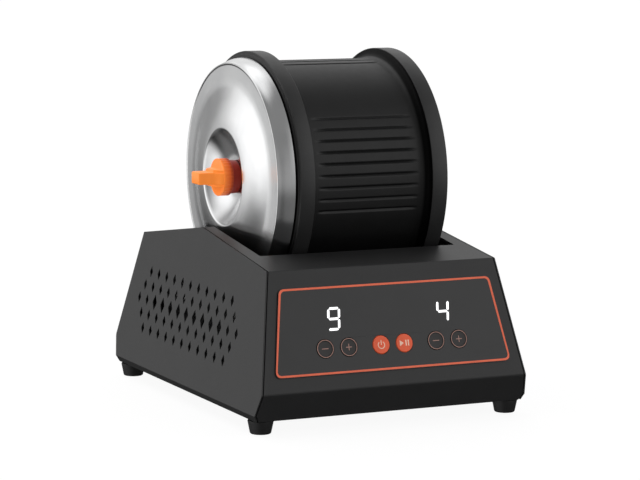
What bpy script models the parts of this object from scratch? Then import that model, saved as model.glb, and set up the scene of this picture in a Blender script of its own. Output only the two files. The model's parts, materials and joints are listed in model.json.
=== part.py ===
"""Rotary rock tumbler: a rubber barrel that turns on two rollers in a folded steel housing.

Metres, +Z up. X runs along the barrel's axis, with the lid at -X; the control panel faces -Y.
The origin is at the middle of the footprint, on the surface that the feet stand on.
"""

import math

import bmesh
import bpy
from mathutils import Matrix, Vector

MM = 0.001
GAP = 0.3 * MM  # left between pieces that touch
SHEET = 2.0 * MM  # housing steel
SIDE_SHEET = 1.3 * MM  # the two side panels

# Barrel: radius of the two end rings, which ride on the rollers, and where things lie along X
RING_R = 80 * MM
BODY_R = 73.6 * MM
CAVITY_R = 66 * MM
MOUTH_R = 60 * MM
AXIS_Y = 6 * MM
AXIS_Z = 143.7 * MM
MOUTH_X = -45 * MM
END_X = 58.3 * MM
RING_WIDTH = 10.8 * MM
END_WALL = 7.3 * MM
PLUG_END_X = -40.7 * MM
STUD_TIP_X = -66 * MM
STUD_R = 3 * MM
MOUTH_LIP = 8 * MM
BARREL_STEPS = 36

# Grip grooves: four groups of nine round the barrel's body
GROOVE_GROUPS = 4
GROOVES_IN_GROUP = 9
GROOVE_PITCH = math.radians(5.8)
GROOVE_PHASE = math.radians(10.6)
GROOVE_WIDTH = 2.0 * MM
GROOVE_DEPTH = 1.0 * MM
GROOVE_START_X = -30 * MM
GROOVE_END_X = 41 * MM

# Housing: half of its side outline, front to back, as (y, z); both sides lean in towards the top
FOOT_HEIGHT = 8.6 * MM
HOUSING_BOTTOM_Y = 112.8 * MM
HOUSING_BEND = (119.7 * MM, 26 * MM)
HOUSING_SHOULDER = (98.9 * MM, 97.8 * MM)
RIDGE_Z = 112 * MM
HALF_WIDTH_BOTTOM = 94 * MM
SIDE_LEAN = 0.1694  # how far a side moves in for each unit up
LIP_Z = 12.6 * MM  # where each side panel turns in along its bottom
LIP_IN = 2 * MM

# Opening in the deck for the barrel
OPENING_HALF_X = 67.9 * MM
OPENING_FRONT_Y = -65.4 * MM
OPENING_BACK_Y = 77.4 * MM

# Vents in each side panel: rows of diamonds, set half a pitch over from row to row
VENT_ROWS = (11, 12, 13, 12, 11)
VENT_PITCH = 13.3 * MM
VENT_ROW_STEP = 9.4 * MM
VENT_MIDDLE_Y = 9.4 * MM
VENT_MIDDLE_Z = 55.6 * MM
VENT_SMALL = (3.6 * MM, 5.0 * MM)
VENT_LARGE = (6.0 * MM, 8.4 * MM)
VENTS_LARGE_IN_MIDDLE_ROW = 9

# Front panel layout: u across from the middle, s up the slope from the lower bend
FASCIA_TOP = (72.6 * MM, 63.6 * MM)
FASCIA_BOTTOM = (81.1 * MM, 9.5 * MM)
FASCIA_THICK = 0.6 * MM
FASCIA_CORNER = 4 * MM
DISPLAY_U = 38 * MM
DISPLAY_S = 43.3 * MM
DISPLAY_SIZE = (12.6 * MM, 19 * MM)
BUTTON_S = 25.4 * MM
BUTTON_R = 5.6 * MM
BUTTON_TRAVEL = 0.5 * MM
BUTTONS = {
    "days_minus_button": -46 * MM,
    "days_plus_button": -30 * MM,
    "power_button": -8 * MM,
    "start_pause_button": 8 * MM,
    "speed_minus_button": 30 * MM,
    "speed_plus_button": 46 * MM,
}
BOARD_DEPTH = 8.3 * MM  # from the panel's outer face to the board's front
BOARD_THICK = 1.6 * MM
BOARD_HALF_U = 75 * MM
BOARD_S = (12 * MM, 60 * MM)
SOCKET_U = 20 * MM
SOCKET_S = 33 * MM
SOCKET_DEPTH = 6 * MM

# Rollers and drive
ROLLER_R = 12 * MM
ROLLER_HALF_SPACING = 46 * MM
SHAFT_R = 4 * MM
ROLLER_LEFT_END = -74.6 * MM
BRACKET_X = 68.6 * MM
BEARING_R = 7 * MM
PULLEY_X = 73.0 * MM
PULLEY_WIDTH = 5.6 * MM
DRIVE_PITCH_R = 11 * MM
MOTOR_PITCH_R = 5.5 * MM
BELT_THICK = 1.5 * MM
BELT_WIDTH = 3.6 * MM
MOTOR_Y = 90 * MM
MOTOR_Z = 38 * MM
MOTOR_R = 18 * MM
MOTOR_SHAFT_R = 3 * MM

# Feet
FOOT_X = 84.6 * MM
FOOT_Y = 104.3 * MM
FOOT_TOP_R = 8.1 * MM
FOOT_BOTTOM_R = 6.5 * MM
STEM_R = 2.5 * MM

# Rear inlet, on the back face
INLET_X = -45 * MM
INLET_S = 20 * MM

# Screws: head radius, head height and shank radius
SCREW = (2.8 * MM, 1.5 * MM, 1.4 * MM)
HOLE_R = 1.8 * MM

# Worked out from the above
PANEL_LEAN = math.atan2(HOUSING_BEND[0] - HOUSING_SHOULDER[0], HOUSING_SHOULDER[1] - HOUSING_BEND[1])
SIDE_ANGLE = math.atan(SIDE_LEAN)
AXLE_DISTANCE = RING_R + ROLLER_R + GAP
ROLLER_Z = AXIS_Z - math.sqrt(AXLE_DISTANCE**2 - ROLLER_HALF_SPACING**2)
DRIVE_Y = AXIS_Y + ROLLER_HALF_SPACING
IDLER_Y = AXIS_Y - ROLLER_HALF_SPACING
PLATE_Z = FOOT_HEIGHT
BASE_TOP = PLATE_Z + SHEET

FRONT = Matrix.Translation((0, -HOUSING_BEND[0], HOUSING_BEND[1])) @ Matrix.Rotation(
    math.pi / 2 - PANEL_LEAN, 4, "X"
)
REAR = (
    Matrix.Translation((0, HOUSING_BEND[0], HOUSING_BEND[1]))
    @ Matrix.Rotation(math.pi, 4, "Z")
    @ Matrix.Rotation(math.pi / 2 - PANEL_LEAN, 4, "X")
)
ALONG_X = Matrix.Rotation(math.pi / 2, 4, "Y")  # local Z to world X, local X to world -Z
YZ_PLANE = Matrix(((0, 0, 1, 0), (1, 0, 0, 0), (0, 1, 0, 0), (0, 0, 0, 1)))  # (y, z, x) to world


# ---------------------------------------------------------------- scene and materials


def clear_scene():
    for old in list(bpy.data.objects):
        bpy.data.objects.remove(old, do_unlink=True)


def new_collection(name):
    made = bpy.data.collections.new(name)
    bpy.context.scene.collection.children.link(made)
    return made


clear_scene()
PARTS = new_collection("rock_tumbler")
CUTTERS = new_collection("cutters")


def material(name, colour, roughness, metallic=0.0):
    made = bpy.data.materials.new(name)
    made.use_nodes = True
    shader = made.node_tree.nodes["Principled BSDF"]
    shader.inputs["Base Color"].default_value = (*colour, 1)
    shader.inputs["Roughness"].default_value = roughness
    shader.inputs["Metallic"].default_value = metallic
    return made


PAINT = material("painted_steel", (0.055, 0.055, 0.057), 0.55)
FASCIA = material("fascia_film", (0.06, 0.06, 0.062), 0.35)
RUBBER = material("black_rubber", (0.02, 0.02, 0.021), 0.6)
STEEL = material("stainless_steel", (0.72, 0.72, 0.73), 0.2, 1.0)
ZINC = material("zinc_plated_steel", (0.6, 0.6, 0.58), 0.35, 1.0)
ORANGE = material("orange_plastic", (0.9, 0.2, 0.02), 0.4)
KEY = material("key_plastic", (0.045, 0.042, 0.042), 0.4)
BRASS = material("brass", (0.75, 0.55, 0.2), 0.3, 1.0)
NYLON = material("white_nylon", (0.8, 0.8, 0.76), 0.5)
BOARD = material("circuit_board", (0.01, 0.12, 0.05), 0.45)
DARK = material("black_plastic", (0.015, 0.015, 0.015), 0.45)


# ---------------------------------------------------------------- shape helpers


def empty(name, matrix):
    made = bpy.data.objects.new(name, None)
    PARTS.objects.link(made)
    made.matrix_world = matrix
    return made


def add(name, mesh, finish, matrix=None, parent=None):
    """A new object for mesh. With a parent, matrix is its place in the parent's frame."""
    made = bpy.data.objects.new(name, mesh)
    PARTS.objects.link(made)
    mesh.materials.clear()
    mesh.materials.append(finish)
    made.parent = parent
    made.matrix_basis = matrix or Matrix.Identity(4)
    return made


def baked(made):
    """The object's evaluated mesh, welded, in its own frame. The object is removed."""
    bpy.context.view_layer.update()
    graph = bpy.context.evaluated_depsgraph_get()
    mesh = bpy.data.meshes.new_from_object(made.evaluated_get(graph))
    bm = bmesh.new()
    bm.from_mesh(mesh)
    bmesh.ops.remove_doubles(bm, verts=bm.verts, dist=0.001 * MM)
    bmesh.ops.recalc_face_normals(bm, faces=bm.faces)
    bm.to_mesh(mesh)
    bm.free()
    bpy.data.objects.remove(made, do_unlink=True)
    return mesh


def combined(meshes_and_places):
    """One mesh that holds a copy of each mesh at its place."""
    bm = bmesh.new()
    for mesh, place in meshes_and_places:
        before = len(bm.verts)
        bm.from_mesh(mesh)
        bm.verts.ensure_lookup_table()
        bmesh.ops.transform(bm, matrix=place, verts=bm.verts[before:])
    made = bpy.data.meshes.new("combined")
    bm.to_mesh(made)
    bm.free()
    return made


def turned(name, finish, profile, matrix, steps=24, parent=None):
    """A solid turned about its local Z, from a closed section of (z, radius) points.

    A section that starts and ends at radius 0 is solid through its middle."""
    solid = profile[0][1] == 0 and profile[-1][1] == 0
    pairs = zip(profile, profile[1:] + profile[:1])
    area = sum(a[1] * b[0] - b[1] * a[0] for a, b in pairs)
    points = profile if area < 0 else profile[::-1]
    edges = [(i, i + 1) for i in range(len(points) - 1)]
    if not solid:
        edges.append((len(points) - 1, 0))
    mesh = bpy.data.meshes.new(name)
    mesh.from_pydata([(radius, 0, z) for z, radius in points], edges, [])
    made = add(name, mesh, finish, matrix, parent)
    screw = made.modifiers.new("turn", "SCREW")
    screw.steps = screw.render_steps = steps
    screw.merge_threshold = 0.005 * MM
    screw.use_merge_vertices = True
    screw.use_smooth_shade = False
    return made


def prism(name, finish, loops, thickness, matrix=None, parent=None):
    """A flat plate: the first loop of (x, y) points is its outline, the others are its holes."""
    curve = bpy.data.curves.new(name, "CURVE")
    curve.dimensions = "2D"
    curve.fill_mode = "BOTH"
    curve.extrude = thickness / 2
    for loop in loops:
        spline = curve.splines.new("POLY")
        spline.points.add(len(loop) - 1)
        for point, (x, y) in zip(spline.points, loop):
            point.co = (x, y, 0, 1)
        spline.use_cyclic_u = True
    outline = bpy.data.objects.new(name + "_outline", curve)
    PARTS.objects.link(outline)
    mesh = baked(outline)
    mesh.name = name
    return add(name, mesh, finish, matrix, parent)


def circle(centre, radius, sides=20):
    turn = 2 * math.pi / sides
    return [
        (centre[0] + radius * math.cos(i * turn), centre[1] + radius * math.sin(i * turn))
        for i in range(sides)
    ]


def box(name, finish, low, high, matrix=None, parent=None):
    """A box between two corners, in the frame that matrix gives."""
    bm = bmesh.new()
    size = [b - a for a, b in zip(low, high)]
    middle = [(a + b) / 2 for a, b in zip(low, high)]
    place = Matrix.Translation(middle) @ Matrix.Diagonal((*size, 1))
    bmesh.ops.create_cube(bm, size=1, matrix=place)
    mesh = bpy.data.meshes.new(name)
    bm.to_mesh(mesh)
    bm.free()
    return add(name, mesh, finish, matrix, parent)


def shell(name, finish, points, faces, thickness, matrix=None):
    """A sheet-metal piece: an open surface whose faces look outwards, thickened inwards."""
    mesh = bpy.data.meshes.new(name)
    mesh.from_pydata(points, [], faces)
    made = add(name, mesh, finish, matrix)
    thick = made.modifiers.new("thickness", "SOLIDIFY")
    thick.thickness = thickness
    thick.offset = -1
    thick.use_even_offset = True
    return made


def as_cutter(made):
    made.hide_render = True
    made.display_type = "WIRE"
    PARTS.objects.unlink(made)
    CUTTERS.objects.link(made)
    return made


def boolean(made, other, operation):
    step = made.modifiers.new(other.name, "BOOLEAN")
    step.operation = operation
    step.solver = "EXACT"
    step.object = other
    return made


def cut(made, *cutters):
    for cutter in cutters:
        boolean(made, as_cutter(cutter), "DIFFERENCE")
    return made


def joined(made, *others):
    for other in others:
        boolean(made, as_cutter(other), "UNION")
    return made


def screw_mesh(length, head=SCREW):
    """A pan-head screw that points along local +Z, with the underside of its head at 0."""
    head_r, head_height, shank_r = head
    profile = [(-head_height, 0), (-head_height, head_r * 0.75), (-head_height * 0.5, head_r)]
    profile += [(0, head_r), (0, shank_r), (length, shank_r), (length, 0)]
    return baked(turned("screw", ZINC, profile, Matrix.Identity(4), steps=10))


def screws(name, length, places, parent=None, head=SCREW):
    """Identical screws, numbered from 1."""
    mesh = screw_mesh(length, head)
    for number, place in enumerate(places, 1):
        add(f"{name}_{number}", mesh.copy(), ZINC, place, parent)


def smooth_route(points, spacing):
    """Points every so often along a smooth curve through the given ones (Catmull-Rom)."""
    points = [Vector(p) for p in points]
    ends = [2 * points[0] - points[1], *points, 2 * points[-1] - points[-2]]
    route = []
    for a, b, c, d in zip(ends, ends[1:], ends[2:], ends[3:]):
        steps = max(2, round((c - b).length / spacing))
        for i in range(steps):
            t = i / steps
            route.append(
                0.5 * (2 * b + t * (c - a) + t**2 * (2 * a - 5 * b + 4 * c - d) + t**3 * (3 * b - a - 3 * c + d))
            )
    return [*route, points[-1]]


def lead(name, finish, points, radius):
    """An insulated lead along a smooth route."""
    curve = bpy.data.curves.new(name, "CURVE")
    curve.dimensions = "3D"
    curve.bevel_depth = radius
    curve.bevel_resolution = 2
    curve.use_fill_caps = True
    route = smooth_route(points, 8 * radius)
    spline = curve.splines.new("POLY")
    spline.points.add(len(route) - 1)
    for point, place in zip(spline.points, route):
        point.co = (*place, 1)
    tube = bpy.data.objects.new(name + "_tube", curve)
    PARTS.objects.link(tube)
    return add(name, baked(tube), finish)


def at(x, y, z):
    return Matrix.Translation((x, y, z))


def along_x(x, y, z):
    """The frame of a piece that is turned about an X axis through this point."""
    return at(x, y, z) @ ALONG_X


# ---------------------------------------------------------------- housing


def half_width(z):
    return HALF_WIDTH_BOTTOM - SIDE_LEAN * (z - FOOT_HEIGHT)


def lip_half_width(z):
    """The half width over the side panels' lips, from the fold down."""
    return half_width(LIP_Z) - LIP_IN * (LIP_Z - z) / (LIP_Z - FOOT_HEIGHT)


def side_outline():
    """The housing's outline from the side, as (y, z), from the front's bottom over the ridge to the back's."""
    bend_y, bend_z = HOUSING_BEND
    shoulder_y, shoulder_z = HOUSING_SHOULDER
    lip_share = (LIP_Z - FOOT_HEIGHT) / (bend_z - FOOT_HEIGHT)
    lip_y = HOUSING_BOTTOM_Y + lip_share * (bend_y - HOUSING_BOTTOM_Y)
    return [
        (-HOUSING_BOTTOM_Y, FOOT_HEIGHT),
        (-lip_y, LIP_Z),
        (-bend_y, bend_z),
        (-shoulder_y, shoulder_z),
        (AXIS_Y, RIDGE_Z),
        (shoulder_y, shoulder_z),
        (bend_y, bend_z),
        (lip_y, LIP_Z),
        (HOUSING_BOTTOM_Y, FOOT_HEIGHT),
    ]


def button_holes(radius):
    return [circle((u, BUTTON_S), radius) for u in BUTTONS.values()]


def panel_cutters():
    """Cutters for the display windows, the button holes and the inlet's hole."""
    half_u = DISPLAY_SIZE[0] / 2 + 0.4 * MM
    half_s = DISPLAY_SIZE[1] / 2 + 0.4 * MM
    depth = 3 * SHEET
    windows = [
        box(
            f"window_cutter_{i}",
            PAINT,
            (u - half_u, DISPLAY_S - half_s, -depth),
            (u + half_u, DISPLAY_S + half_s, depth),
            FRONT,
        )
        for i, u in enumerate((-DISPLAY_U, DISPLAY_U))
    ]
    holes = [
        prism(f"{name}_cutter", PAINT, [hole], 2 * depth, FRONT)
        for name, hole in zip(BUTTONS, button_holes(BUTTON_R + 0.4 * MM))
    ]
    inlet = prism("inlet_cutter", PAINT, [circle((-INLET_X, INLET_S), 4.3 * MM, 16)], 2 * depth, REAR)
    return [*windows, *holes, inlet]


def board_fixings():
    return [(side * 70 * MM, s) for side in (-1, 1) for s in (16 * MM, 56 * MM)]


def board_standoffs():
    """Threaded studs welded behind the front panel, to hold the board."""
    end = -BOARD_DEPTH + GAP
    profile = [(-1 * MM, 0), (-1 * MM, 3 * MM), (end, 3 * MM), (end, 1.6 * MM), (-3 * MM, 1.6 * MM), (-3 * MM, 0)]
    places = [FRONT @ at(u, s, 0) for u, s in board_fixings()]
    return [turned(f"standoff_{i}", PAINT, profile, place, steps=12) for i, place in enumerate(places)]


def top_cover():
    """Front panel, deck and back, folded from one sheet, with the barrel's opening in the deck."""
    outline = side_outline()
    inset = SIDE_SHEET / math.cos(SIDE_ANGLE) + GAP
    lip_inset = (SIDE_SHEET + GAP) / math.cos(math.atan2(LIP_IN, LIP_Z - FOOT_HEIGHT))
    points = []
    for y, z in outline:
        if z > LIP_Z:
            reach = half_width(z) - inset
        else:
            reach = lip_half_width(z) - lip_inset
        points += [(-reach, y, z), (reach, y, z)]
    faces = [(2 * i, 2 * i + 1, 2 * i + 3, 2 * i + 2) for i in range(len(outline) - 1)]
    cover = shell("top_cover", PAINT, points, faces, SHEET)
    opening = box(
        "opening_cutter",
        PAINT,
        (-OPENING_HALF_X, OPENING_FRONT_Y, HOUSING_SHOULDER[1] - 2 * SHEET),
        (OPENING_HALF_X, OPENING_BACK_Y, RIDGE_Z + SHEET),
    )
    cut(cover, opening, *panel_cutters())
    return joined(cover, *board_standoffs())


def vent_sizes():
    """(row, column, width, height) of each diamond, with the large ones in the middle row."""
    middle = len(VENT_ROWS) // 2
    for row, count in enumerate(VENT_ROWS):
        for column in range(count):
            from_middle = abs(column - (count - 1) / 2)
            large = row == middle and from_middle < VENTS_LARGE_IN_MIDDLE_ROW / 2
            yield row, column, *(VENT_LARGE if large else VENT_SMALL)


def vent_cutter(name, side):
    """All of one side panel's diamonds, as one cutter."""
    bm = bmesh.new()
    lean = Matrix.Rotation(-side * SIDE_ANGLE, 4, "Y")
    middle = at(side * half_width(VENT_MIDDLE_Z), VENT_MIDDLE_Y, VENT_MIDDLE_Z)
    for row, column, width, height in vent_sizes():
        y = (column - (VENT_ROWS[row] - 1) / 2) * VENT_PITCH
        z = ((len(VENT_ROWS) - 1) / 2 - row) * VENT_ROW_STEP
        flat = Matrix.Diagonal((4 * SHEET, width / math.sqrt(2), height / math.sqrt(2), 1))
        turn = Matrix.Rotation(math.pi / 4, 4, "X")
        bmesh.ops.create_cube(bm, size=1, matrix=middle @ lean @ at(0, y, z) @ flat @ turn)
    mesh = bpy.data.meshes.new(name)
    bm.to_mesh(mesh)
    bm.free()
    return add(name, mesh, PAINT)


def side_panel(name, side):
    """A flat side plate with a lip turned in along its bottom. side is -1 for left and 1 for right."""
    outline = side_outline()
    wall = outline[1:-1]
    points = [(side * half_width(z), y, z) for y, z in wall]
    foot_x = side * lip_half_width(FOOT_HEIGHT)
    points += [(foot_x, y, FOOT_HEIGHT) for y in (HOUSING_BOTTOM_Y, -HOUSING_BOTTOM_Y)]
    count = len(wall)
    faces = [tuple(range(count)), (0, count - 1, count, count + 1)]
    if side > 0:
        faces = [face[::-1] for face in faces]
    panel = shell(name, PAINT, points, faces, SIDE_SHEET)
    return cut(panel, vent_cutter(f"{name}_vents", side))


def plate_screw_places():
    """Where screws go up through the bottom plate into the two brackets' flanges."""
    x = BRACKET_X - 6 * MM
    return [(side * x, y) for side in (-1, 1) for y in (-52 * MM, 62 * MM)]


def bottom_plate():
    x, y = 89.2 * MM, 108.5 * MM
    outline = [(-x, -y), (x, -y), (x, y), (-x, y)]
    holes = [circle(place, HOLE_R, 12) for place in plate_screw_places()]
    holes += [circle(place, STEM_R + GAP, 16) for place in foot_places()]
    return prism("bottom_plate", PAINT, [outline, *holes], SHEET, at(0, 0, PLATE_Z + SHEET / 2))


def foot_places():
    return [(x, y) for y in (-FOOT_Y, FOOT_Y) for x in (-FOOT_X, FOOT_X)]


def feet():
    """Four tapered rubber feet, each with a barbed stem pushed up through the bottom plate."""
    edge = 1 * MM
    above = BASE_TOP + GAP
    profile = [
        (0, 0),
        (0, FOOT_BOTTOM_R - edge),
        (edge, FOOT_BOTTOM_R),
        (FOOT_HEIGHT - GAP, FOOT_TOP_R),
        (FOOT_HEIGHT - GAP, STEM_R),
        (above, STEM_R),
        (above, STEM_R + 1 * MM),
        (above + 3 * MM, STEM_R - 0.6 * MM),
        (above + 3 * MM, 0),
    ]
    names = ("front_left", "front_right", "rear_left", "rear_right")
    for name, (x, y) in zip(names, foot_places()):
        turned(f"rubber_foot_{name}", RUBBER, profile, at(x, y, 0), steps=16)


# ---------------------------------------------------------------- roller bay


def bracket(name, side, motor_ear):
    """An end wall of the roller bay, with a bearing hole for each shaft and a flange to screw down."""
    foot = BASE_TOP + GAP
    half = 72 * MM
    low, high = AXIS_Y - half, AXIS_Y + half
    back = [(high, 97.5 * MM), (high, foot)]
    if motor_ear:
        back = [(high, 97.5 * MM), (high, 62 * MM), (107 * MM, 57 * MM), (107 * MM, foot)]
    outline = [(low, foot), (low, 98.8 * MM), (AXIS_Y, 109 * MM), *back]
    holes = [circle((y, ROLLER_Z), BEARING_R + GAP) for y in (DRIVE_Y, IDLER_Y)]
    if motor_ear:
        holes.append(circle((MOTOR_Y, MOTOR_Z), MOTOR_SHAFT_R + 1.2 * MM, 16))
        holes += [circle(place, HOLE_R, 12) for place in motor_screw_places()]
    middle = side * (BRACKET_X + SHEET / 2)
    wall = prism(name, PAINT, [outline, *holes], SHEET, at(middle, 0, 0) @ YZ_PLANE)
    inner, outer = sorted((side * (BRACKET_X - 13 * MM), side * (BRACKET_X + SHEET / 2)))
    flange_back = 106 * MM if motor_ear else high - 1 * MM
    corners = [(inner, low + 1 * MM), (outer, low + 1 * MM), (outer, flange_back), (inner, flange_back)]
    flange_holes = [circle(place, HOLE_R, 12) for place in plate_screw_places() if place[0] * side > 0]
    flange = prism(f"{name}_flange", PAINT, [corners, *flange_holes], SHEET, at(0, 0, foot + SHEET / 2))
    return joined(wall, flange)


def well_liner():
    """The sheet under the barrel, between the brackets, that keeps grit and water off the works."""
    reach = BRACKET_X - GAP
    front_top, back_top = (-65.4 * MM, 98 * MM), (77.4 * MM, 96.6 * MM)
    front_low, back_low = (-60 * MM, 45 * MM), (69 * MM, 45 * MM)
    points = [(x, y, z) for y, z in (front_top, front_low, back_low, back_top) for x in (-reach, reach)]
    faces = [(2 * i, 2 * i + 2, 2 * i + 3, 2 * i + 1) for i in range(3)]
    return shell("well_liner", PAINT, points, faces, 1.2 * MM)


def bearings():
    """Flanged plain bearings, pressed into the brackets from outside."""
    inside, outside = -1 * MM, SHEET + 2 * MM
    flange = SHEET + GAP
    bore = SHAFT_R + GAP
    profile = [
        (inside, bore),
        (inside, BEARING_R),
        (flange, BEARING_R),
        (flange, BEARING_R + 1.6 * MM),
        (flange + 1 * MM, BEARING_R + 1.6 * MM),
        (flange + 1 * MM, BEARING_R - 1 * MM),
        (outside, BEARING_R - 1 * MM),
        (outside, bore),
    ]
    for shaft, y in (("drive", DRIVE_Y), ("idler", IDLER_Y)):
        for end, side in (("left", -1), ("right", 1)):
            face = at(side * BRACKET_X, y, ROLLER_Z) @ Matrix.Rotation(side * math.pi / 2, 4, "Y")
            turned(f"{shaft}_bearing_{end}", ZINC, profile, face, steps=16)


def roller(shaft, y, right_end):
    """A steel shaft with two collars, and between them the rubber sleeve that carries the barrel's rings."""
    axis = empty(f"{shaft}_axis", along_x(0, y, ROLLER_Z))
    chamfer = 0.6 * MM
    collar_r = ROLLER_R + 2.6 * MM
    collar = 3 * MM
    shoulder_r = SHAFT_R + 1.5 * MM
    shoulder_end = BRACKET_X - 1 * MM - GAP
    low, high = MOUTH_X - 0.7 * MM, END_X + 0.7 * MM
    left = [
        (ROLLER_LEFT_END, 0),
        (ROLLER_LEFT_END, SHAFT_R - chamfer),
        (ROLLER_LEFT_END + chamfer, SHAFT_R),
        (-shoulder_end, SHAFT_R),
        (-shoulder_end, shoulder_r),
        (low - collar, shoulder_r),
        (low - collar, collar_r - 1 * MM),
        (low - collar + 1 * MM, collar_r),
        (low, collar_r),
        (low, SHAFT_R),
    ]
    right = [
        (high, SHAFT_R),
        (high, collar_r),
        (high + collar - 1 * MM, collar_r),
        (high + collar, collar_r - 1 * MM),
        (high + collar, shoulder_r),
        (shoulder_end, shoulder_r),
        (shoulder_end, SHAFT_R),
        (right_end - chamfer, SHAFT_R),
        (right_end, SHAFT_R - chamfer),
        (right_end, 0),
    ]
    turned(f"{shaft}_shaft", ZINC, left + right, Matrix.Identity(4), steps=16, parent=axis)
    bore = SHAFT_R + GAP
    start, end = low + GAP, high - GAP
    sleeve = [(start, bore), (start, ROLLER_R), (end, ROLLER_R), (end, bore)]
    turned(f"{shaft}_roller_sleeve", RUBBER, sleeve, Matrix.Identity(4), steps=24, parent=axis)
    return axis


def pulley(name, pitch_r, bore, axis):
    """A flat-bottomed pulley between two flanges, for the drive belt."""
    groove_r = pitch_r - BELT_THICK / 2 - GAP
    flange_r = pitch_r + BELT_THICK / 2 + 0.2 * MM
    wall = (PULLEY_WIDTH - BELT_WIDTH) / 2 - GAP
    start, end = PULLEY_X, PULLEY_X + PULLEY_WIDTH
    profile = [
        (start, bore),
        (start, flange_r),
        (start + wall, flange_r),
        (start + wall, groove_r),
        (end - wall, groove_r),
        (end - wall, flange_r),
        (end, flange_r),
        (end, bore),
    ]
    turned(name, NYLON, profile, Matrix.Identity(4), steps=20, parent=axis)


def belt_loop(extra):
    """The belt's line round both pulleys, as (y, z), this far outside their pitch lines."""
    drive, motor = Vector((DRIVE_Y, ROLLER_Z)), Vector((MOTOR_Y, MOTOR_Z))
    between = motor - drive
    heading = math.atan2(between.y, between.x)
    tilt = math.acos((DRIVE_PITCH_R - MOTOR_PITCH_R) / between.length)
    loop = []
    for centre, radius, start, sweep in (
        (drive, DRIVE_PITCH_R + extra, heading + tilt, 2 * (math.pi - tilt)),
        (motor, MOTOR_PITCH_R + extra, heading - tilt, 2 * tilt),
    ):
        steps = 14
        for i in range(steps + 1):
            angle = start + sweep * i / steps
            loop.append((centre.x + radius * math.cos(angle), centre.y + radius * math.sin(angle)))
    return loop


def drive_belt():
    loops = [belt_loop(BELT_THICK / 2), belt_loop(-BELT_THICK / 2)]
    middle = PULLEY_X + PULLEY_WIDTH / 2
    return prism("drive_belt", RUBBER, loops, BELT_WIDTH, at(middle, 0, 0) @ YZ_PLANE)


def motor_screw_places():
    return [(MOTOR_Y + dy, MOTOR_Z + dz) for dy, dz in ((-12 * MM, 0), (12 * MM, 0))]


def motor():
    """A geared motor on the right bracket, with its output shaft through to the belt side."""
    face = BRACKET_X - GAP
    gearbox = [(-20 * MM, 0), (-20 * MM, MOTOR_R), (0, MOTOR_R), (0, 0)]
    box_body = turned("motor_gearbox", ZINC, gearbox, along_x(face, MOTOR_Y, MOTOR_Z), steps=24)
    shaft_clearance = turned(
        "gearbox_bore_cutter",
        ZINC,
        [(-12 * MM, 0), (-12 * MM, 3.6 * MM), (2 * MM, 3.6 * MM), (2 * MM, 0)],
        along_x(face, MOTOR_Y, MOTOR_Z),
        steps=16,
    )
    screw_hole = baked(
        turned(
            "screw_hole",
            ZINC,
            [(-9 * MM, 0), (-9 * MM, HOLE_R), (2 * MM, HOLE_R), (2 * MM, 0)],
            Matrix.Identity(4),
            steps=12,
        )
    )
    places = [along_x(face, y, z) for y, z in motor_screw_places()]
    screw_holes = add("gearbox_screw_cutter", combined([(screw_hole, place) for place in places]), ZINC)
    cut(box_body, shaft_clearance, screw_holes)
    end = face - 20 * MM - GAP
    can = [(-50 * MM, 0), (-50 * MM, 12 * MM), (-47 * MM, MOTOR_R - 1.5 * MM), (0, MOTOR_R - 1.5 * MM), (0, 0)]
    turned("motor_can", ZINC, can, along_x(end, MOTOR_Y, MOTOR_Z), steps=24)
    outside = BRACKET_X + SHEET + GAP
    facing = Matrix.Rotation(-math.pi / 2, 4, "Y")
    screws("motor_screw", 8 * MM, [at(outside, y, z) @ facing for y, z in motor_screw_places()])
    axis = empty("motor_axis", along_x(0, MOTOR_Y, MOTOR_Z))
    inner, outer = face - 11 * MM, PULLEY_X + PULLEY_WIDTH + 0.8 * MM
    shaft = [(inner, 0), (inner, MOTOR_SHAFT_R), (outer, MOTOR_SHAFT_R), (outer, 0)]
    turned("motor_output_shaft", ZINC, shaft, Matrix.Identity(4), steps=16, parent=axis)
    pulley("motor_pulley", MOTOR_PITCH_R, MOTOR_SHAFT_R + GAP, axis)


# ---------------------------------------------------------------- barrel and lid


def groove_cutter(axis):
    """Bars that cut the grip grooves, in four groups round the barrel."""
    bm = bmesh.new()
    length = GROOVE_END_X - GROOVE_START_X
    middle = (GROOVE_END_X + GROOVE_START_X) / 2
    height = 2 * GROOVE_DEPTH
    for group in range(GROOVE_GROUPS):
        for groove in range(GROOVES_IN_GROUP):
            angle = 2 * math.pi * group / GROOVE_GROUPS + GROOVE_PHASE
            angle += (groove - (GROOVES_IN_GROUP - 1) / 2) * GROOVE_PITCH
            # local +X points down, so the front of the barrel is at -90 degrees about local Z
            turn = Matrix.Rotation(-math.pi / 2 - angle, 4, "Z")
            place = turn @ at(BODY_R, 0, middle) @ Matrix.Diagonal((height, GROOVE_WIDTH, length, 1))
            bmesh.ops.create_cube(bm, size=1, matrix=place)
    mesh = bpy.data.meshes.new("groove_cutter")
    bm.to_mesh(mesh)
    bm.free()
    return add("groove_cutter", mesh, RUBBER, None, axis)


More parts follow.
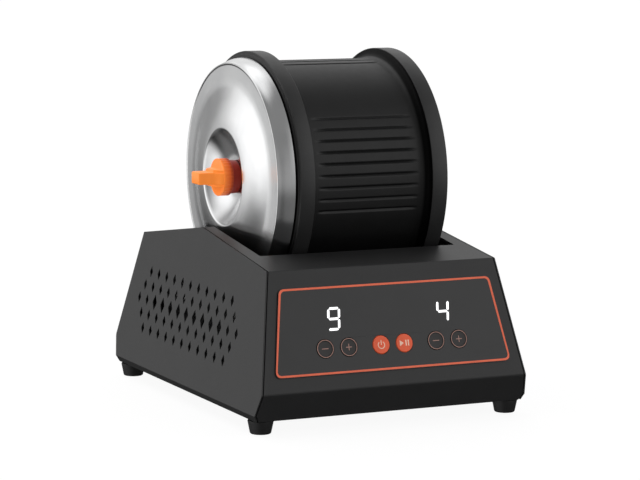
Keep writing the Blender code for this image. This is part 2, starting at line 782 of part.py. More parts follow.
def barrel_body(axis):
    """The moulded rubber barrel: open at its mouth, closed at its other end, with a ring at each end."""
    fillet = 2 * MM
    left_ring, right_ring = MOUTH_X + RING_WIDTH, END_X - RING_WIDTH
    groove = (62.4 * MM, 66.6 * MM)
    profile = [
        (MOUTH_X, MOUTH_R),
        (MOUTH_X, groove[0]),
        (MOUTH_X + 2.8 * MM, groove[0]),
        (MOUTH_X + 2.8 * MM, groove[1]),
        (MOUTH_X, groove[1]),
        (MOUTH_X, RING_R - 0.6 * MM),
        (MOUTH_X + 0.6 * MM, RING_R),
        (left_ring, RING_R),
        (left_ring, BODY_R + fillet),
        (left_ring + fillet, BODY_R),
        (right_ring - fillet, BODY_R),
        (right_ring, BODY_R + fillet),
        (right_ring, RING_R),
        (END_X - 0.6 * MM, RING_R),
        (END_X, RING_R - 0.6 * MM),
        (END_X, RING_R - 8 * MM),
        (END_X - 2.5 * MM, RING_R - 12 * MM),
        (END_X - 2.5 * MM, 0),
        (END_X - END_WALL, 0),
        (END_X - END_WALL, CAVITY_R - 4 * MM),
        (END_X - END_WALL - 4 * MM, CAVITY_R),
        (MOUTH_X + MOUTH_LIP, CAVITY_R),
        (MOUTH_X + MOUTH_LIP, MOUTH_R),
    ]
    # the section has two points on the axis side by side, so start the list there
    start = profile.index((END_X - END_WALL, 0))
    section = profile[start:] + profile[:start]
    body = turned("barrel_body", RUBBER, section, Matrix.Identity(4), steps=BARREL_STEPS, parent=axis)
    return cut(body, groove_cutter(axis))


def mouth_gasket(axis):
    profile = [
        (MOUTH_X - 0.1 * MM, 62.8 * MM),
        (MOUTH_X - 0.1 * MM, 66.2 * MM),
        (MOUTH_X + 2.4 * MM, 66.2 * MM),
        (MOUTH_X + 2.4 * MM, 62.8 * MM),
    ]
    turned("mouth_gasket", RUBBER, profile, Matrix.Identity(4), steps=BARREL_STEPS, parent=axis)


def inner_lid(axis):
    """The rubber plug that seals the mouth, and the stud whose plate lies behind it."""
    back = MOUTH_X - 0.5 * MM
    front = back - 2.5 * MM
    boss = -51.7 * MM
    face = -43 * MM
    bore = STUD_R + GAP
    profile = [
        (boss, bore),
        (boss, 13 * MM),
        (front, 15 * MM),
        (front, 70 * MM),
        (back, 70 * MM),
        (back, MOUTH_R - 0.5 * MM),
        (PLUG_END_X, MOUTH_R - 1 * MM),
        (PLUG_END_X, 52 * MM),
        (face, 50 * MM),
        (face, bore),
    ]
    turned("inner_lid", RUBBER, profile, Matrix.Identity(4), steps=BARREL_STEPS, parent=axis)
    plate = face + GAP
    head = plate + 2 * MM
    stud = [(head, 0), (head, 6.5 * MM), (plate, 7 * MM), (plate, STUD_R)]
    stud += [(STUD_TIP_X + 0.6 * MM, STUD_R), (STUD_TIP_X, STUD_R - 0.6 * MM), (STUD_TIP_X, 0)]
    turned("lid_stud", ZINC, stud, Matrix.Identity(4), steps=16, parent=axis)


def outer_lid_line():
    """The stainless lid's outer face from its centre hole out to its skirt, as (x, radius)."""
    floor, rim = -53 * MM, -62.1 * MM
    floor_r, bowl_r = 13 * MM, 30.4 * MM
    line = [(floor, STUD_R + 1.5 * MM), (floor, floor_r)]
    steps = 3
    for i in range(1, steps + 1):
        angle = math.pi / 2 * i / steps
        radius = floor_r + (bowl_r - floor_r) * math.sin(angle)
        line.append((floor + (rim - floor) * (1 - math.cos(angle)), radius))
    line += [(-62.4 * MM, 31.6 * MM), (-61.2 * MM, 41 * MM), (-56.6 * MM, 58.5 * MM)]
    line += [(-56.4 * MM, 72.2 * MM), (-50.5 * MM, 75.2 * MM), (-45.9 * MM, 76.1 * MM)]
    return line


def outer_lid(axis):
    """Pressed from one disc of stainless steel, 1 mm thick."""
    thick = 1 * MM
    line = [Vector(point) for point in outer_lid_line()]
    inner = []
    for i, point in enumerate(line):
        before, after = line[max(i - 1, 0)], line[min(i + 1, len(line) - 1)]
        heading = (after - before).normalized()
        inner.append(point + thick * Vector((heading.y, -heading.x)))
    section = [tuple(point) for point in [*line, *inner[::-1]]]
    turned("outer_lid", STEEL, section, Matrix.Identity(4), steps=32, parent=axis)


def wing_knob(axis):
    """The orange knob: a round hub on a neck, with a grip bar that narrows to a paddle."""
    hub = [(-54.8 * MM, 0), (-54.8 * MM, 8 * MM), (-58.4 * MM, 8.4 * MM), (-58.8 * MM, 11.6 * MM)]
    hub += [(-59.2 * MM, 12 * MM), (-65.3 * MM, 12 * MM), (-65.9 * MM, 11.4 * MM), (-65.9 * MM, 0)]
    knob = turned("wing_knob", ORANGE, hub, Matrix.Identity(4), steps=24, parent=axis)
    half = [(-63 * MM, 11.9 * MM), (-68 * MM, 11.4 * MM), (-71.5 * MM, 7.2 * MM), (-80.6 * MM, 6.4 * MM)]
    half.append((-81.2 * MM, 5.8 * MM))
    outline = [*half, *[(x, -y) for x, y in reversed(half)]]
    lying = Matrix(((0, 0, -1, 0), (0, 1, 0, 0), (1, 0, 0, 0), (0, 0, 0, 1)))
    bar = prism("knob_bar", ORANGE, [outline], 8.4 * MM, lying, axis)
    insert_end, hole_end = STUD_TIP_X + 0.7 * MM, STUD_TIP_X - 1 * MM
    hole = [(-54 * MM, 0), (-54 * MM, 5.3 * MM), (insert_end - GAP, 5.3 * MM)]
    hole += [(insert_end - GAP, STUD_R + GAP), (hole_end, STUD_R + GAP), (hole_end, 0)]
    hole_cutter = turned("knob_hole_cutter", ORANGE, hole, Matrix.Identity(4), steps=16, parent=axis)
    cut(joined(knob, bar), hole_cutter)
    bore = STUD_R + GAP
    insert = [(-55.5 * MM, bore), (-55.5 * MM, 5 * MM), (insert_end, 5 * MM), (insert_end, bore)]
    turned("knob_thread_insert", BRASS, insert, Matrix.Identity(4), steps=16, parent=axis)
    washer = [(-53.3 * MM, bore), (-53.3 * MM, 9.5 * MM), (-54.5 * MM, 9.5 * MM), (-54.5 * MM, bore)]
    turned("knob_washer", ZINC, washer, Matrix.Identity(4), steps=20, parent=axis)


# ---------------------------------------------------------------- controls


def fascia_outline():
    """The fascia's trapezium with rounded corners, as (u, s)."""
    corners = [
        (-FASCIA_BOTTOM[0], FASCIA_BOTTOM[1]),
        (FASCIA_BOTTOM[0], FASCIA_BOTTOM[1]),
        (FASCIA_TOP[0], FASCIA_TOP[1]),
        (-FASCIA_TOP[0], FASCIA_TOP[1]),
    ]
    corners = [Vector(corner) for corner in corners]
    outline = []
    for i, corner in enumerate(corners):
        to_last = (corners[i - 1] - corner).normalized()
        to_next = (corners[(i + 1) % 4] - corner).normalized()
        steps = 4
        for k in range(steps + 1):
            t = k / steps
            bend = (1 - t) ** 2 * to_last + t**2 * to_next
            outline.append(tuple(corner + FASCIA_CORNER * bend))
    return outline


def controls():
    """Everything that lies parallel to the front panel. w is measured out from the panel's face."""
    panel = empty("front_panel", FRONT)
    middle = GAP + FASCIA_THICK / 2
    loops = [fascia_outline(), *button_holes(BUTTON_R + 0.35 * MM)]
    prism("control_fascia", FASCIA, loops, FASCIA_THICK, at(0, 0, middle), panel)

    proud = GAP + FASCIA_THICK + 0.4 * MM
    flange_top, back = -2.6 * MM, -3.7 * MM
    cap = [(back, 0), (back, BUTTON_R + 1.2 * MM), (flange_top, BUTTON_R + 1.2 * MM), (flange_top, BUTTON_R)]
    cap += [(proud - 0.3 * MM, BUTTON_R), (proud, BUTTON_R - 0.3 * MM), (proud, 0)]
    for name, u in BUTTONS.items():
        finish = ORANGE if abs(u) < 10 * MM else KEY
        turned(name, finish, cap, at(u, BUTTON_S, 0), steps=20, parent=panel)

    board_front, board_back = -BOARD_DEPTH, -BOARD_DEPTH - BOARD_THICK
    control_board(panel, board_front)
    small = (2.6 * MM, 1.2 * MM, 1.2 * MM)
    places = [at(u, s, board_back - GAP) for u, s in board_fixings()]
    screws("board_screw", 5 * MM, places, panel, small)

    half_u, half_s = DISPLAY_SIZE[0] / 2, DISPLAY_SIZE[1] / 2
    for name, u in (("days_display", -DISPLAY_U), ("speed_display", DISPLAY_U)):
        low = (u - half_u, DISPLAY_S - half_s, board_front + GAP)
        high = (u + half_u, DISPLAY_S + half_s, -GAP)
        box(name, DARK, low, high, None, panel)
    for name, u in (("supply_socket", -SOCKET_U), ("motor_socket", SOCKET_U)):
        low = (u - 5 * MM, SOCKET_S - 3 * MM, board_back - GAP - SOCKET_DEPTH)
        high = (u + 5 * MM, SOCKET_S + 3 * MM, board_back - GAP)
        box(name, NYLON, low, high, None, panel)


def control_board(panel, front):
    """The circuit board, with the six key switches soldered to its front."""
    corners = [(-BOARD_HALF_U, BOARD_S[0]), (BOARD_HALF_U, BOARD_S[0])]
    corners += [(BOARD_HALF_U, BOARD_S[1]), (-BOARD_HALF_U, BOARD_S[1])]
    loops = [corners, *[circle(place, HOLE_R, 12) for place in board_fixings()]]
    board = prism("control_board", BOARD, loops, BOARD_THICK, at(0, 0, front - BOARD_THICK / 2), panel)
    top = -4.3 * MM
    profile = [(front - 0.5 * MM, 0), (front - 0.5 * MM, 3.6 * MM), (top - 0.5 * MM, 3.6 * MM)]
    profile += [(top - 0.5 * MM, 1.7 * MM), (top, 1.7 * MM), (top, 0)]
    places = [at(u, BUTTON_S, 0) for u in BUTTONS.values()]
    switches = [
        turned(f"switch_{i}", DARK, profile, place, steps=8, parent=panel) for i, place in enumerate(places)
    ]
    joined(board, *switches)


def power_inlet():
    """The low-voltage socket on the back, held by a nut inside."""
    back_face = empty("back_face", REAR)
    centre = (-INLET_X, INLET_S)
    profile = [
        (-12 * MM, 0),
        (-12 * MM, 4 * MM),
        (GAP, 4 * MM),
        (GAP, 5.8 * MM),
        (1.8 * MM, 5.4 * MM),
        (1.8 * MM, 3.1 * MM),
        (-8 * MM, 3.1 * MM),
        (-8 * MM, 1 * MM),
        (-1 * MM, 1 * MM),
        (-1 * MM, 0),
    ]
    turned("power_inlet", DARK, profile, at(*centre, 0), steps=20, parent=back_face)
    loops = [circle(centre, 6.2 * MM, 6), circle(centre, 4.3 * MM, 20)]
    nut_middle = -SHEET - GAP - 1.25 * MM
    prism("power_inlet_nut", ZINC, loops, 2.5 * MM, at(0, 0, nut_middle), back_face)


def leads():
    """The supply lead from inlet to board, and the motor's lead from board to motor."""
    inlet_end = REAR @ Vector((-INLET_X, INLET_S, -12.4 * MM))
    board_back = -BOARD_DEPTH - BOARD_THICK - SOCKET_DEPTH - 4 * GAP
    supply_end = FRONT @ Vector((-SOCKET_U, SOCKET_S, board_back))
    motor_end = FRONT @ Vector((SOCKET_U, SOCKET_S, board_back))
    inwards = FRONT.to_3x3() @ Vector((0, 0, -9 * MM))
    forwards = REAR.to_3x3() @ Vector((0, 0, -6 * MM))
    floor = BASE_TOP + 12 * MM
    supply = [
        inlet_end,
        inlet_end + forwards,
        (INLET_X, 88 * MM, 28 * MM),
        (-40 * MM, 76 * MM, floor),
        (-34 * MM, 0, floor),
        (-28 * MM, -70 * MM, floor),
        supply_end + inwards,
        supply_end,
    ]
    can_end = BRACKET_X - 2 * GAP - 70 * MM
    motor_lead = [
        (can_end - 0.8 * MM, MOTOR_Y, MOTOR_Z),
        (can_end - 6 * MM, MOTOR_Y, MOTOR_Z),
        (-12 * MM, 84 * MM, 24 * MM),
        (-10 * MM, 70 * MM, floor),
        (0, 0, floor),
        (14 * MM, -70 * MM, floor),
        motor_end + inwards,
        motor_end,
    ]
    lead("supply_lead", DARK, supply, 1.5 * MM)
    lead("motor_lead", DARK, motor_lead, 1.2 * MM)


# ---------------------------------------------------------------- the whole object


def build():
    top_cover()
    side_panel("left_side_panel", -1)
    side_panel("right_side_panel", 1)
    bottom_plate()
    feet()
    bracket("left_bracket", -1, motor_ear=False)
    bracket("right_bracket", 1, motor_ear=True)
    upwards = [at(x, y, PLATE_Z - GAP) for x, y in plate_screw_places()]
    screws("bracket_screw", 7 * MM, upwards)
    well_liner()
    bearings()
    drive_axis = roller("drive", DRIVE_Y, PULLEY_X + PULLEY_WIDTH + 0.6 * MM)
    roller("idler", IDLER_Y, -ROLLER_LEFT_END)
    pulley("drive_pulley", DRIVE_PITCH_R, SHAFT_R + GAP, drive_axis)
    drive_belt()
    motor()
    barrel_axis = empty("barrel_axis", along_x(0, AXIS_Y, AXIS_Z))
    barrel_body(barrel_axis)
    mouth_gasket(barrel_axis)
    inner_lid(barrel_axis)
    outer_lid(barrel_axis)
    wing_knob(barrel_axis)
    controls()
    power_inlet()
    leads()


build()
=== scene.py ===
"""Looks for the rotary rock tumbler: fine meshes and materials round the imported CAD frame.

Everything is in metres in the frame's own axes: X along the barrel, front at -Y, +Z up.
"""

import json
import math

import bmesh
import bpy
from mathutils import Matrix, Vector

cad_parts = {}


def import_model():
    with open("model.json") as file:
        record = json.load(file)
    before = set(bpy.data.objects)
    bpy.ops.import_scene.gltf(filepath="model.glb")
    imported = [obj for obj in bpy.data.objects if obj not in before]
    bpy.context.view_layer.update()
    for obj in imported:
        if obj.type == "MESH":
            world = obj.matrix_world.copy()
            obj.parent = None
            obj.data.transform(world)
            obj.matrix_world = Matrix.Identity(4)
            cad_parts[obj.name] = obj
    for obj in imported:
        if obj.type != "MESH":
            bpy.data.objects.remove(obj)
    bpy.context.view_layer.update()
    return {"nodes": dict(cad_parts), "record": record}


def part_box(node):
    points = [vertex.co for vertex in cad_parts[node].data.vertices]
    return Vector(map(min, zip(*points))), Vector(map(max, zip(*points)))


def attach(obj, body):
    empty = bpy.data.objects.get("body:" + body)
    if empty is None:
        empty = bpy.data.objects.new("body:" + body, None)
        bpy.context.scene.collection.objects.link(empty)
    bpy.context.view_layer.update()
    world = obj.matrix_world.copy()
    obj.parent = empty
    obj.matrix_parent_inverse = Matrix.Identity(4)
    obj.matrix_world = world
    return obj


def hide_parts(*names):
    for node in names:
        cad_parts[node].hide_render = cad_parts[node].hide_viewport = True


MM = 0.001
IDENTITY = Matrix.Identity(4)

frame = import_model()

# ---------------------------------------------------------------- sizes, as in the CAD

AXIS_Y = 6 * MM
AXIS_Z = 143.7 * MM
RING_R = 80 * MM
BODY_R = 73.6 * MM
MOUTH_X = -45 * MM
END_X = 58.3 * MM
RING_WIDTH = 10.8 * MM

SHEET = 2 * MM
SIDE_EDGE = 0.9 * MM  # how thick the side panels look at their edges
SEAM = 0.6 * MM
GAP = 0.3 * MM
FOOT_HEIGHT = 8.6 * MM
HOUSING_BOTTOM_Y = 112.8 * MM
HOUSING_BEND = (119.7 * MM, 26 * MM)
HOUSING_SHOULDER = (98.9 * MM, 97.8 * MM)
RIDGE_Z = 112 * MM
HALF_WIDTH_BOTTOM = 94 * MM
SIDE_LEAN = 0.1694
SIDE_ANGLE = math.atan(SIDE_LEAN)
LIP_Z = 12.6 * MM
LIP_IN = 2 * MM
OPENING_HALF_X = 67.9 * MM
OPENING_FRONT_Y = -65.4 * MM
OPENING_BACK_Y = 77.4 * MM

FASCIA_TOP = (72.6 * MM, 63.6 * MM)
FASCIA_BOTTOM = (81.1 * MM, 9.5 * MM)
FASCIA_THICK = 0.6 * MM
DAYS_DIGIT_U = -38 * MM
SPEED_DIGIT_U = 37 * MM
DIGIT_S = 43.3 * MM
BUTTON_S = 25.4 * MM
BUTTON_R = 5.6 * MM
KEY_HOLE_R = BUTTON_R + 0.4 * MM
BUTTONS = {
    "days_minus_button": -46 * MM,
    "days_plus_button": -30 * MM,
    "power_button": -8 * MM,
    "start_pause_button": 8 * MM,
    "speed_minus_button": 30 * MM,
    "speed_plus_button": 46 * MM,
}
INLET_X = -45 * MM
INLET_S = 20 * MM
INLET_HOLE_R = 4.3 * MM

PANEL_LEAN = math.atan2(HOUSING_BEND[0] - HOUSING_SHOULDER[0], HOUSING_SHOULDER[1] - HOUSING_BEND[1])
FRONT = Matrix.Translation((0, -HOUSING_BEND[0], HOUSING_BEND[1])) @ Matrix.Rotation(
    math.pi / 2 - PANEL_LEAN, 4, "X"
)
REAR = (
    Matrix.Translation((0, HOUSING_BEND[0], HOUSING_BEND[1]))
    @ Matrix.Rotation(math.pi, 4, "Z")
    @ Matrix.Rotation(math.pi / 2 - PANEL_LEAN, 4, "X")
)
BARREL_AXIS = Matrix.Translation((0, AXIS_Y, AXIS_Z)) @ Matrix.Rotation(math.pi / 2, 4, "Y")


# ---------------------------------------------------------------- materials


class Nodes:
    """A node tree with short ways to add and join nodes."""

    def __init__(self, tree):
        self.tree = tree

    def feed(self, place, value):
        """Gives an input its value: another node's output, a number, a vector or a colour."""
        if isinstance(value, bpy.types.NodeSocket):
            self.tree.links.new(value, place)
        else:
            place.default_value = value

    def node(self, kind, **values):
        made = self.tree.nodes.new("ShaderNode" + kind)
        for name, value in values.items():
            self.feed(made.inputs[name], value)
        return made

    def maths(self, kind, operation, *values):
        """The outputs of a Math or VectorMath node."""
        made = self.node(kind)
        made.operation = operation
        for place, value in zip(made.inputs, values):
            self.feed(place, value)
        return made.outputs

    def axes(self, vector):
        """A vector's three numbers, under X, Y and Z."""
        return self.node("SeparateXYZ", Vector=vector).outputs

    def spread(self, factor, low, high, start=0.0, end=1.0, smooth=False):
        """Low where factor is start and high where it is end. Either may be a node's output."""
        limits = {"From Min": start, "From Max": end, "To Min": low, "To Max": high}
        made = self.node("MapRange", Value=factor, **limits)
        if smooth:
            made.interpolation_type = "SMOOTHSTEP"
        return made.outputs["Result"]


class Shader(Nodes):
    """A material with a Principled node."""

    def __init__(self, name, roughness=0.5, metallic=0.0, specular=0.5):
        self.material = bpy.data.materials.new(name)
        self.material.use_nodes = True
        super().__init__(self.material.node_tree)
        self.principled = self.tree.nodes["Principled BSDF"]
        self.surface("Roughness", roughness)
        self.surface("Metallic", metallic)
        self.surface("Specular IOR Level", specular)
        self.coords = self.node("TexCoord").outputs["Object"]

    def surface(self, name, value):
        self.feed(self.principled.inputs[name], value)

    def glow(self, colour, strength):
        self.surface("Emission Color", colour)
        self.surface("Emission Strength", strength)

    def noise(self, scale, detail=3.0, roughness=0.55, vector=None, stretch=None):
        """Noise at scale cycles a metre, stretched along an axis if stretch is given."""
        source = vector or self.coords
        if stretch:
            source = self.node("Mapping", Vector=source, Scale=stretch).outputs["Vector"]
        made = self.node("TexNoise", Vector=source, Scale=scale, Detail=detail, Roughness=roughness)
        return made.outputs["Fac"]

    def ramp(self, factor, stops):
        made = self.node("ValToRGB", Fac=factor)
        elements = made.color_ramp.elements
        while len(elements) < len(stops):
            elements.new(0.5)
        for element, (place, colour) in zip(elements, stops):
            element.position = place
            element.color = (*colour, 1)
        return made.outputs["Color"]

    def mixed(self, factor, one, two, blend="MIX"):
        """One colour where factor is 0. Where it is 1, the other, or the two multiplied."""
        made = self.node("Mix", Factor=factor)
        made.data_type = "RGBA"
        made.blend_type = blend
        colours = [place for place in made.inputs if place.type == "RGBA"]
        for place, colour in zip(colours, (one, two)):
            self.feed(place, colour)
        return next(place for place in made.outputs if place.type == "RGBA")

    def bump(self, height, distance, strength=1.0, before=None):
        made = self.node("Bump", Height=height, Distance=distance, Strength=strength)
        if before:
            self.feed(made.inputs["Normal"], before)
        self.surface("Normal", made.outputs["Normal"])
        return made.outputs["Normal"]


def shade(colour, factor):
    return tuple(min(1.0, channel * factor) for channel in colour)


def powder_coat(name, colour, roughness=0.5):
    """Satin paint on steel: a fine orange-peel texture and faint unevenness in tone."""
    made = Shader(name)
    tone = made.noise(60, detail=4)
    made.surface("Base Color", made.ramp(tone, [(0.3, shade(colour, 0.93)), (0.7, shade(colour, 1.07))]))
    made.surface("Roughness", made.spread(made.noise(900, detail=2), roughness - 0.05, roughness + 0.05))
    peel = made.noise(2600, detail=2, roughness=0.4)
    made.bump(peel, 0.03 * MM, 0.35)
    return made.material


def moulded(name, colour, roughness=0.4, grain=1800, depth=0.012 * MM, glow=0.0):
    """Moulded plastic or rubber: an even skin with fine grain and slight mottling, and a glow, if given,
    that is painted light.
    """
    made = Shader(name)
    tone = made.noise(140, detail=3)
    mottled = made.ramp(tone, [(0.35, shade(colour, 0.94)), (0.65, shade(colour, 1.06))])
    made.surface("Base Color", mottled)
    # Painted light: the glow makes the skin emit, though the part is no lamp.
    made.glow(mottled, glow)
    made.surface("Roughness", made.spread(made.noise(350, detail=3), roughness - 0.05, roughness + 0.06))
    made.bump(made.noise(grain, detail=2), depth, 0.5)
    return made.material


def around_axis(made, scale):
    """Coordinates for a turned piece: (distance from the barrel's axis, x, 0), in metres times scale."""
    place = made.axes(made.coords)
    flat = made.node("CombineXYZ", Y=place["Y"], Z=place["Z"]).outputs["Vector"]
    offset = made.maths("VectorMath", "SUBTRACT", flat, (0, AXIS_Y, AXIS_Z))["Vector"]
    radius = made.maths("VectorMath", "LENGTH", offset)["Value"]
    joined = made.node("CombineXYZ", X=radius, Y=place["X"]).outputs["Vector"]
    return made.maths("VectorMath", "MULTIPLY", joined, (scale, scale, scale))["Vector"]


def barrel_rubber():
    """Satin moulded rubber: paler on the running rings, with painted shade, a near-black colour and less
    sheen, in the corner by the right one.
    """
    made = Shader("barrel_rubber", specular=0.36)
    tone = made.noise(90, detail=4)
    body = made.ramp(tone, [(0.3, (0.004, 0.004, 0.0041)), (0.7, (0.006, 0.006, 0.0062))])
    rim = made.ramp(tone, [(0.3, (0.016, 0.016, 0.0162)), (0.7, (0.021, 0.021, 0.0212))])
    # corner: painted shade, a near-black colour for the curve up to the right ring, where shade falls
    corner = made.ramp(tone, [(0.3, (0.0014, 0.0014, 0.0015)), (0.7, (0.002, 0.002, 0.0021))])
    turned = made.axes(around_axis(made, 1.0))
    radius, along = turned["X"], turned["Y"]
    on_ring = made.spread(radius, 0.0, 1.0, RING_R - 0.6 * MM, RING_R - 0.2 * MM)
    above_body = made.spread(radius, 0.0, 1.0, BODY_R + 0.5 * MM, BODY_R + 1.3 * MM)
    by_right_ring = made.spread(along, 0.0, 1.0, 0.0, 10 * MM)
    # Where the painted shade lies: the curve up to the right ring. It also lowers the specular there.
    painted_corner_shade = made.maths("Math", "MULTIPLY", above_body, by_right_ring)["Value"]
    made.surface("Base Color", made.mixed(on_ring, made.mixed(painted_corner_shade, body, corner), rim))
    off_ring = made.spread(painted_corner_shade, 0.38, 0.06)
    made.surface("Specular IOR Level", made.spread(on_ring, off_ring, 0.5))
    made.surface("Roughness", made.spread(made.noise(220, detail=4), 0.4, 0.5))
    lines = made.noise(1500, detail=2, stretch=(1.0, 0.04, 0.04))
    first = made.bump(lines, 0.02 * MM, 0.35)
    made.bump(made.noise(2400, detail=2), 0.015 * MM, 0.3, before=first)
    return made.material


def polished_steel():
    """Spun and polished stainless steel, with faint rings and a trace of handling haze."""
    made = Shader("polished_stainless", metallic=1.0)
    haze = made.noise(45, detail=5)
    made.surface("Base Color", made.ramp(haze, [(0.3, (0.66, 0.665, 0.67)), (0.7, (0.74, 0.742, 0.745))]))
    made.surface("Roughness", made.spread(made.noise(70, detail=5), 0.17, 0.25))
    rings = made.noise(1.0, detail=3, vector=around_axis(made, 1400))
    made.bump(rings, 0.006 * MM, 0.25)
    return made.material


def knob_plastic():
    """Bright translucent orange, with a painted glow on its outer part and painted shade, deeper and
    redder, on the side by the lid.
    """
    made = Shader("knob_orange", specular=0.4)
    # Painted shade: along X the colour darkens to deep red towards the lid, where the neck and the hub's
    # back lie in shade.
    depth = made.spread(made.axes(made.coords)["X"], 0.0, 1.0, -67 * MM, -58.6 * MM)
    bright, deep, painted_shade_red = (1.0, 0.27, 0.04), (0.98, 0.17, 0.02), (0.5, 0.03, 0.012)
    tone = made.ramp(depth, [(0.0, bright), (0.6, deep), (0.97, painted_shade_red)])
    mottle = made.ramp(made.noise(300, detail=3), [(0.35, (0.94, 0.94, 0.94)), (0.65, (1, 1, 1))])
    orange = made.mixed(1.0, tone, mottle, "MULTIPLY")
    made.surface("Base Color", orange)
    # Painted light: a glow on the outer part, fading out towards the lid, though the knob is no lamp.
    made.glow(orange, made.spread(depth, 0.5, 0.0, 0.1, 0.9))
    made.surface("Roughness", made.spread(made.noise(350, detail=3), 0.32, 0.42))
    made.bump(made.noise(1500, detail=2), 0.012 * MM, 0.5)
    return made.material


def machined(name, colour, roughness=0.32):
    """Plated or turned metal for the working parts."""
    made = Shader(name, metallic=1.0)
    tone = made.noise(120, detail=4)
    made.surface("Base Color", made.ramp(tone, [(0.3, shade(colour, 0.88)), (0.7, shade(colour, 1.08))]))
    made.surface("Roughness", made.spread(made.noise(300, detail=3), roughness - 0.08, roughness + 0.1))
    made.bump(made.noise(1800, detail=2), 0.01 * MM, 0.3)
    return made.material


def glowing(name, colour, strength):
    """A lit display segment or its halo, very slightly uneven."""
    made = Shader(name, roughness=0.4)
    lit = made.ramp(made.noise(900, detail=1), [(0.2, shade(colour, 0.93)), (0.8, colour)])
    made.surface("Base Color", lit)
    made.glow(lit, strength)
    return made.material


PAINT = powder_coat("housing_paint", (0.021, 0.021, 0.0215), 0.5)
INNER_PAINT = powder_coat("inner_paint", (0.012, 0.012, 0.0125), 0.6)
FILM = powder_coat("fascia_film", (0.026, 0.026, 0.0265), 0.42)
RUBBER = barrel_rubber()
SOFT_RUBBER = moulded("soft_rubber", (0.009, 0.009, 0.0093), 0.6, grain=1400, depth=0.02 * MM)
STEEL = polished_steel()
ZINC = machined("zinc_plate", (0.62, 0.62, 0.6))
BRASS = machined("brass", (0.72, 0.5, 0.2), 0.28)
ORANGE = knob_plastic()
# Painted light: KEY_ORANGE, INK, KEY_LINE and ICON glow a little, though keys and print are no lamps.
KEY_ORANGE = moulded("key_orange", (0.93, 0.125, 0.04), 0.45, grain=1500, depth=0.006 * MM, glow=0.12)
INK = moulded("outline_ink", (0.95, 0.16, 0.07), 0.45, grain=2500, depth=0.004 * MM, glow=0.15)
KEY_DARK = moulded("key_dark", (0.02, 0.0165, 0.016), 0.45, grain=2000, depth=0.006 * MM)
KEY_LINE = moulded("key_line", (0.5, 0.28, 0.23), 0.5, grain=2500, depth=0.004 * MM, glow=0.1)
ICON = moulded("icon_ink", (1.0, 0.66, 0.5), 0.5, grain=2500, depth=0.004 * MM, glow=0.2)
LIT = glowing("lit_segment", (1.0, 1.0, 1.0), 2.2)
HALO = glowing("halo", (0.28, 0.28, 0.29), 1.0)
HALO_FAINT = glowing("halo_faint", (0.035, 0.035, 0.036), 1.0)
NYLON = moulded("nylon", (0.72, 0.72, 0.68), 0.45)
BOARD = moulded("circuit_board", (0.012, 0.12, 0.045), 0.35)
BLACK = moulded("black_plastic", (0.012, 0.012, 0.012), 0.4)


# ---------------------------------------------------------------- mesh helpers


def loose(name, data, matrix=IDENTITY):
    """An object in the scene that isn't a piece."""
    made = bpy.data.objects.new(name, data)
    bpy.context.scene.collection.objects.link(made)
    made.matrix_world = matrix
    return made


def add(name, mesh, finish, body, replaces=()):
    """A piece, which rides on a body and may take the place of CAD nodes."""
    made = loose(name, mesh)
    mesh.materials.clear()
    mesh.materials.append(finish)
    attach(made, body)
    if replaces:
        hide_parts(*replaces)
    return made


def from_bmesh(bm, name, smooth=35):
    bmesh.ops.remove_doubles(bm, verts=bm.verts, dist=0.001 * MM)
    bmesh.ops.recalc_face_normals(bm, faces=bm.faces)
    mesh = bpy.data.meshes.new(name)
    bm.to_mesh(mesh)
    bm.free()
    smoothed(mesh, smooth)
    return mesh


def smoothed(mesh, angle):
    mesh.shade_smooth()
    mesh.set_sharp_from_angle(angle=math.radians(angle))


def evaluated(made):
    """A mesh of what the object's modifiers, or its curve's settings, make of it."""
    bpy.context.view_layer.update()
    graph = bpy.context.evaluated_depsgraph_get()
    return bpy.data.meshes.new_from_object(made.evaluated_get(graph))


def applied(made, name):
    """The object's mesh with its modifiers applied, all smooth. The object is removed."""
    made.data.shade_smooth()
    if "sharp_edge" in made.data.attributes:
        made.data.attributes.remove(made.data.attributes["sharp_edge"])
    mesh = evaluated(made)
    mesh.name = name
    bpy.data.objects.remove(made, do_unlink=True)
    return mesh


def rounded(made, width, segments=2, angle=40):
    """Rounds the edges and keeps the flat faces between them flat."""
    step = made.modifiers.new("edges", "BEVEL")
    step.width = width
    step.segments = segments
    step.limit_method = "ANGLE"
    step.angle_limit = math.radians(angle)
    step = made.modifiers.new("normals", "WEIGHTED_NORMAL")
    step.mode = "FACE_AREA"
    step.weight = 100
    return made


def boolean(made, other, operation="DIFFERENCE"):
    """Applies the Boolean straight away and removes the other object."""
    step = made.modifiers.new(operation, "BOOLEAN")
    step.operation = operation
    step.solver = "EXACT"
    step.object = other
    mesh = evaluated(made)
    made.modifiers.remove(step)
    made.data = mesh
    bpy.data.objects.remove(other, do_unlink=True)
    return made


def even_angles(count):
    return [2 * math.pi * i / count for i in range(count)]


def turned_mesh(name, section, matrix, angles, smooth=35, shape=None):
    """A solid turned about local Z from a closed section of (z, radius) points.

    Points at radius 0 become single vertices. shape(z, radius, angle), if given, returns the radius to use.
    """
    bm = bmesh.new()
    rings = []
    for z, radius in section:
        if radius == 0:
            rings.append([bm.verts.new((0, 0, z))])
            continue
        ring = []
        for angle in angles:
            r = shape(z, radius, angle) if shape else radius
            ring.append(bm.verts.new((r * math.cos(angle), r * math.sin(angle), z)))
        rings.append(ring)
    count = len(angles)
    for one, two in zip(rings, rings[1:] + rings[:1]):
        if len(one) == 1 and len(two) == 1:
            continue
        for i in range(count):
            k = (i + 1) % count
            if len(one) == 1:
                bm.faces.new((one[0], two[i], two[k]))
            elif len(two) == 1:
                bm.faces.new((one[i], two[0], one[k]))
            else:
                bm.faces.new((one[i], two[i], two[k], one[k]))
    bmesh.ops.transform(bm, matrix=matrix, verts=bm.verts)
    return from_bmesh(bm, name, smooth)


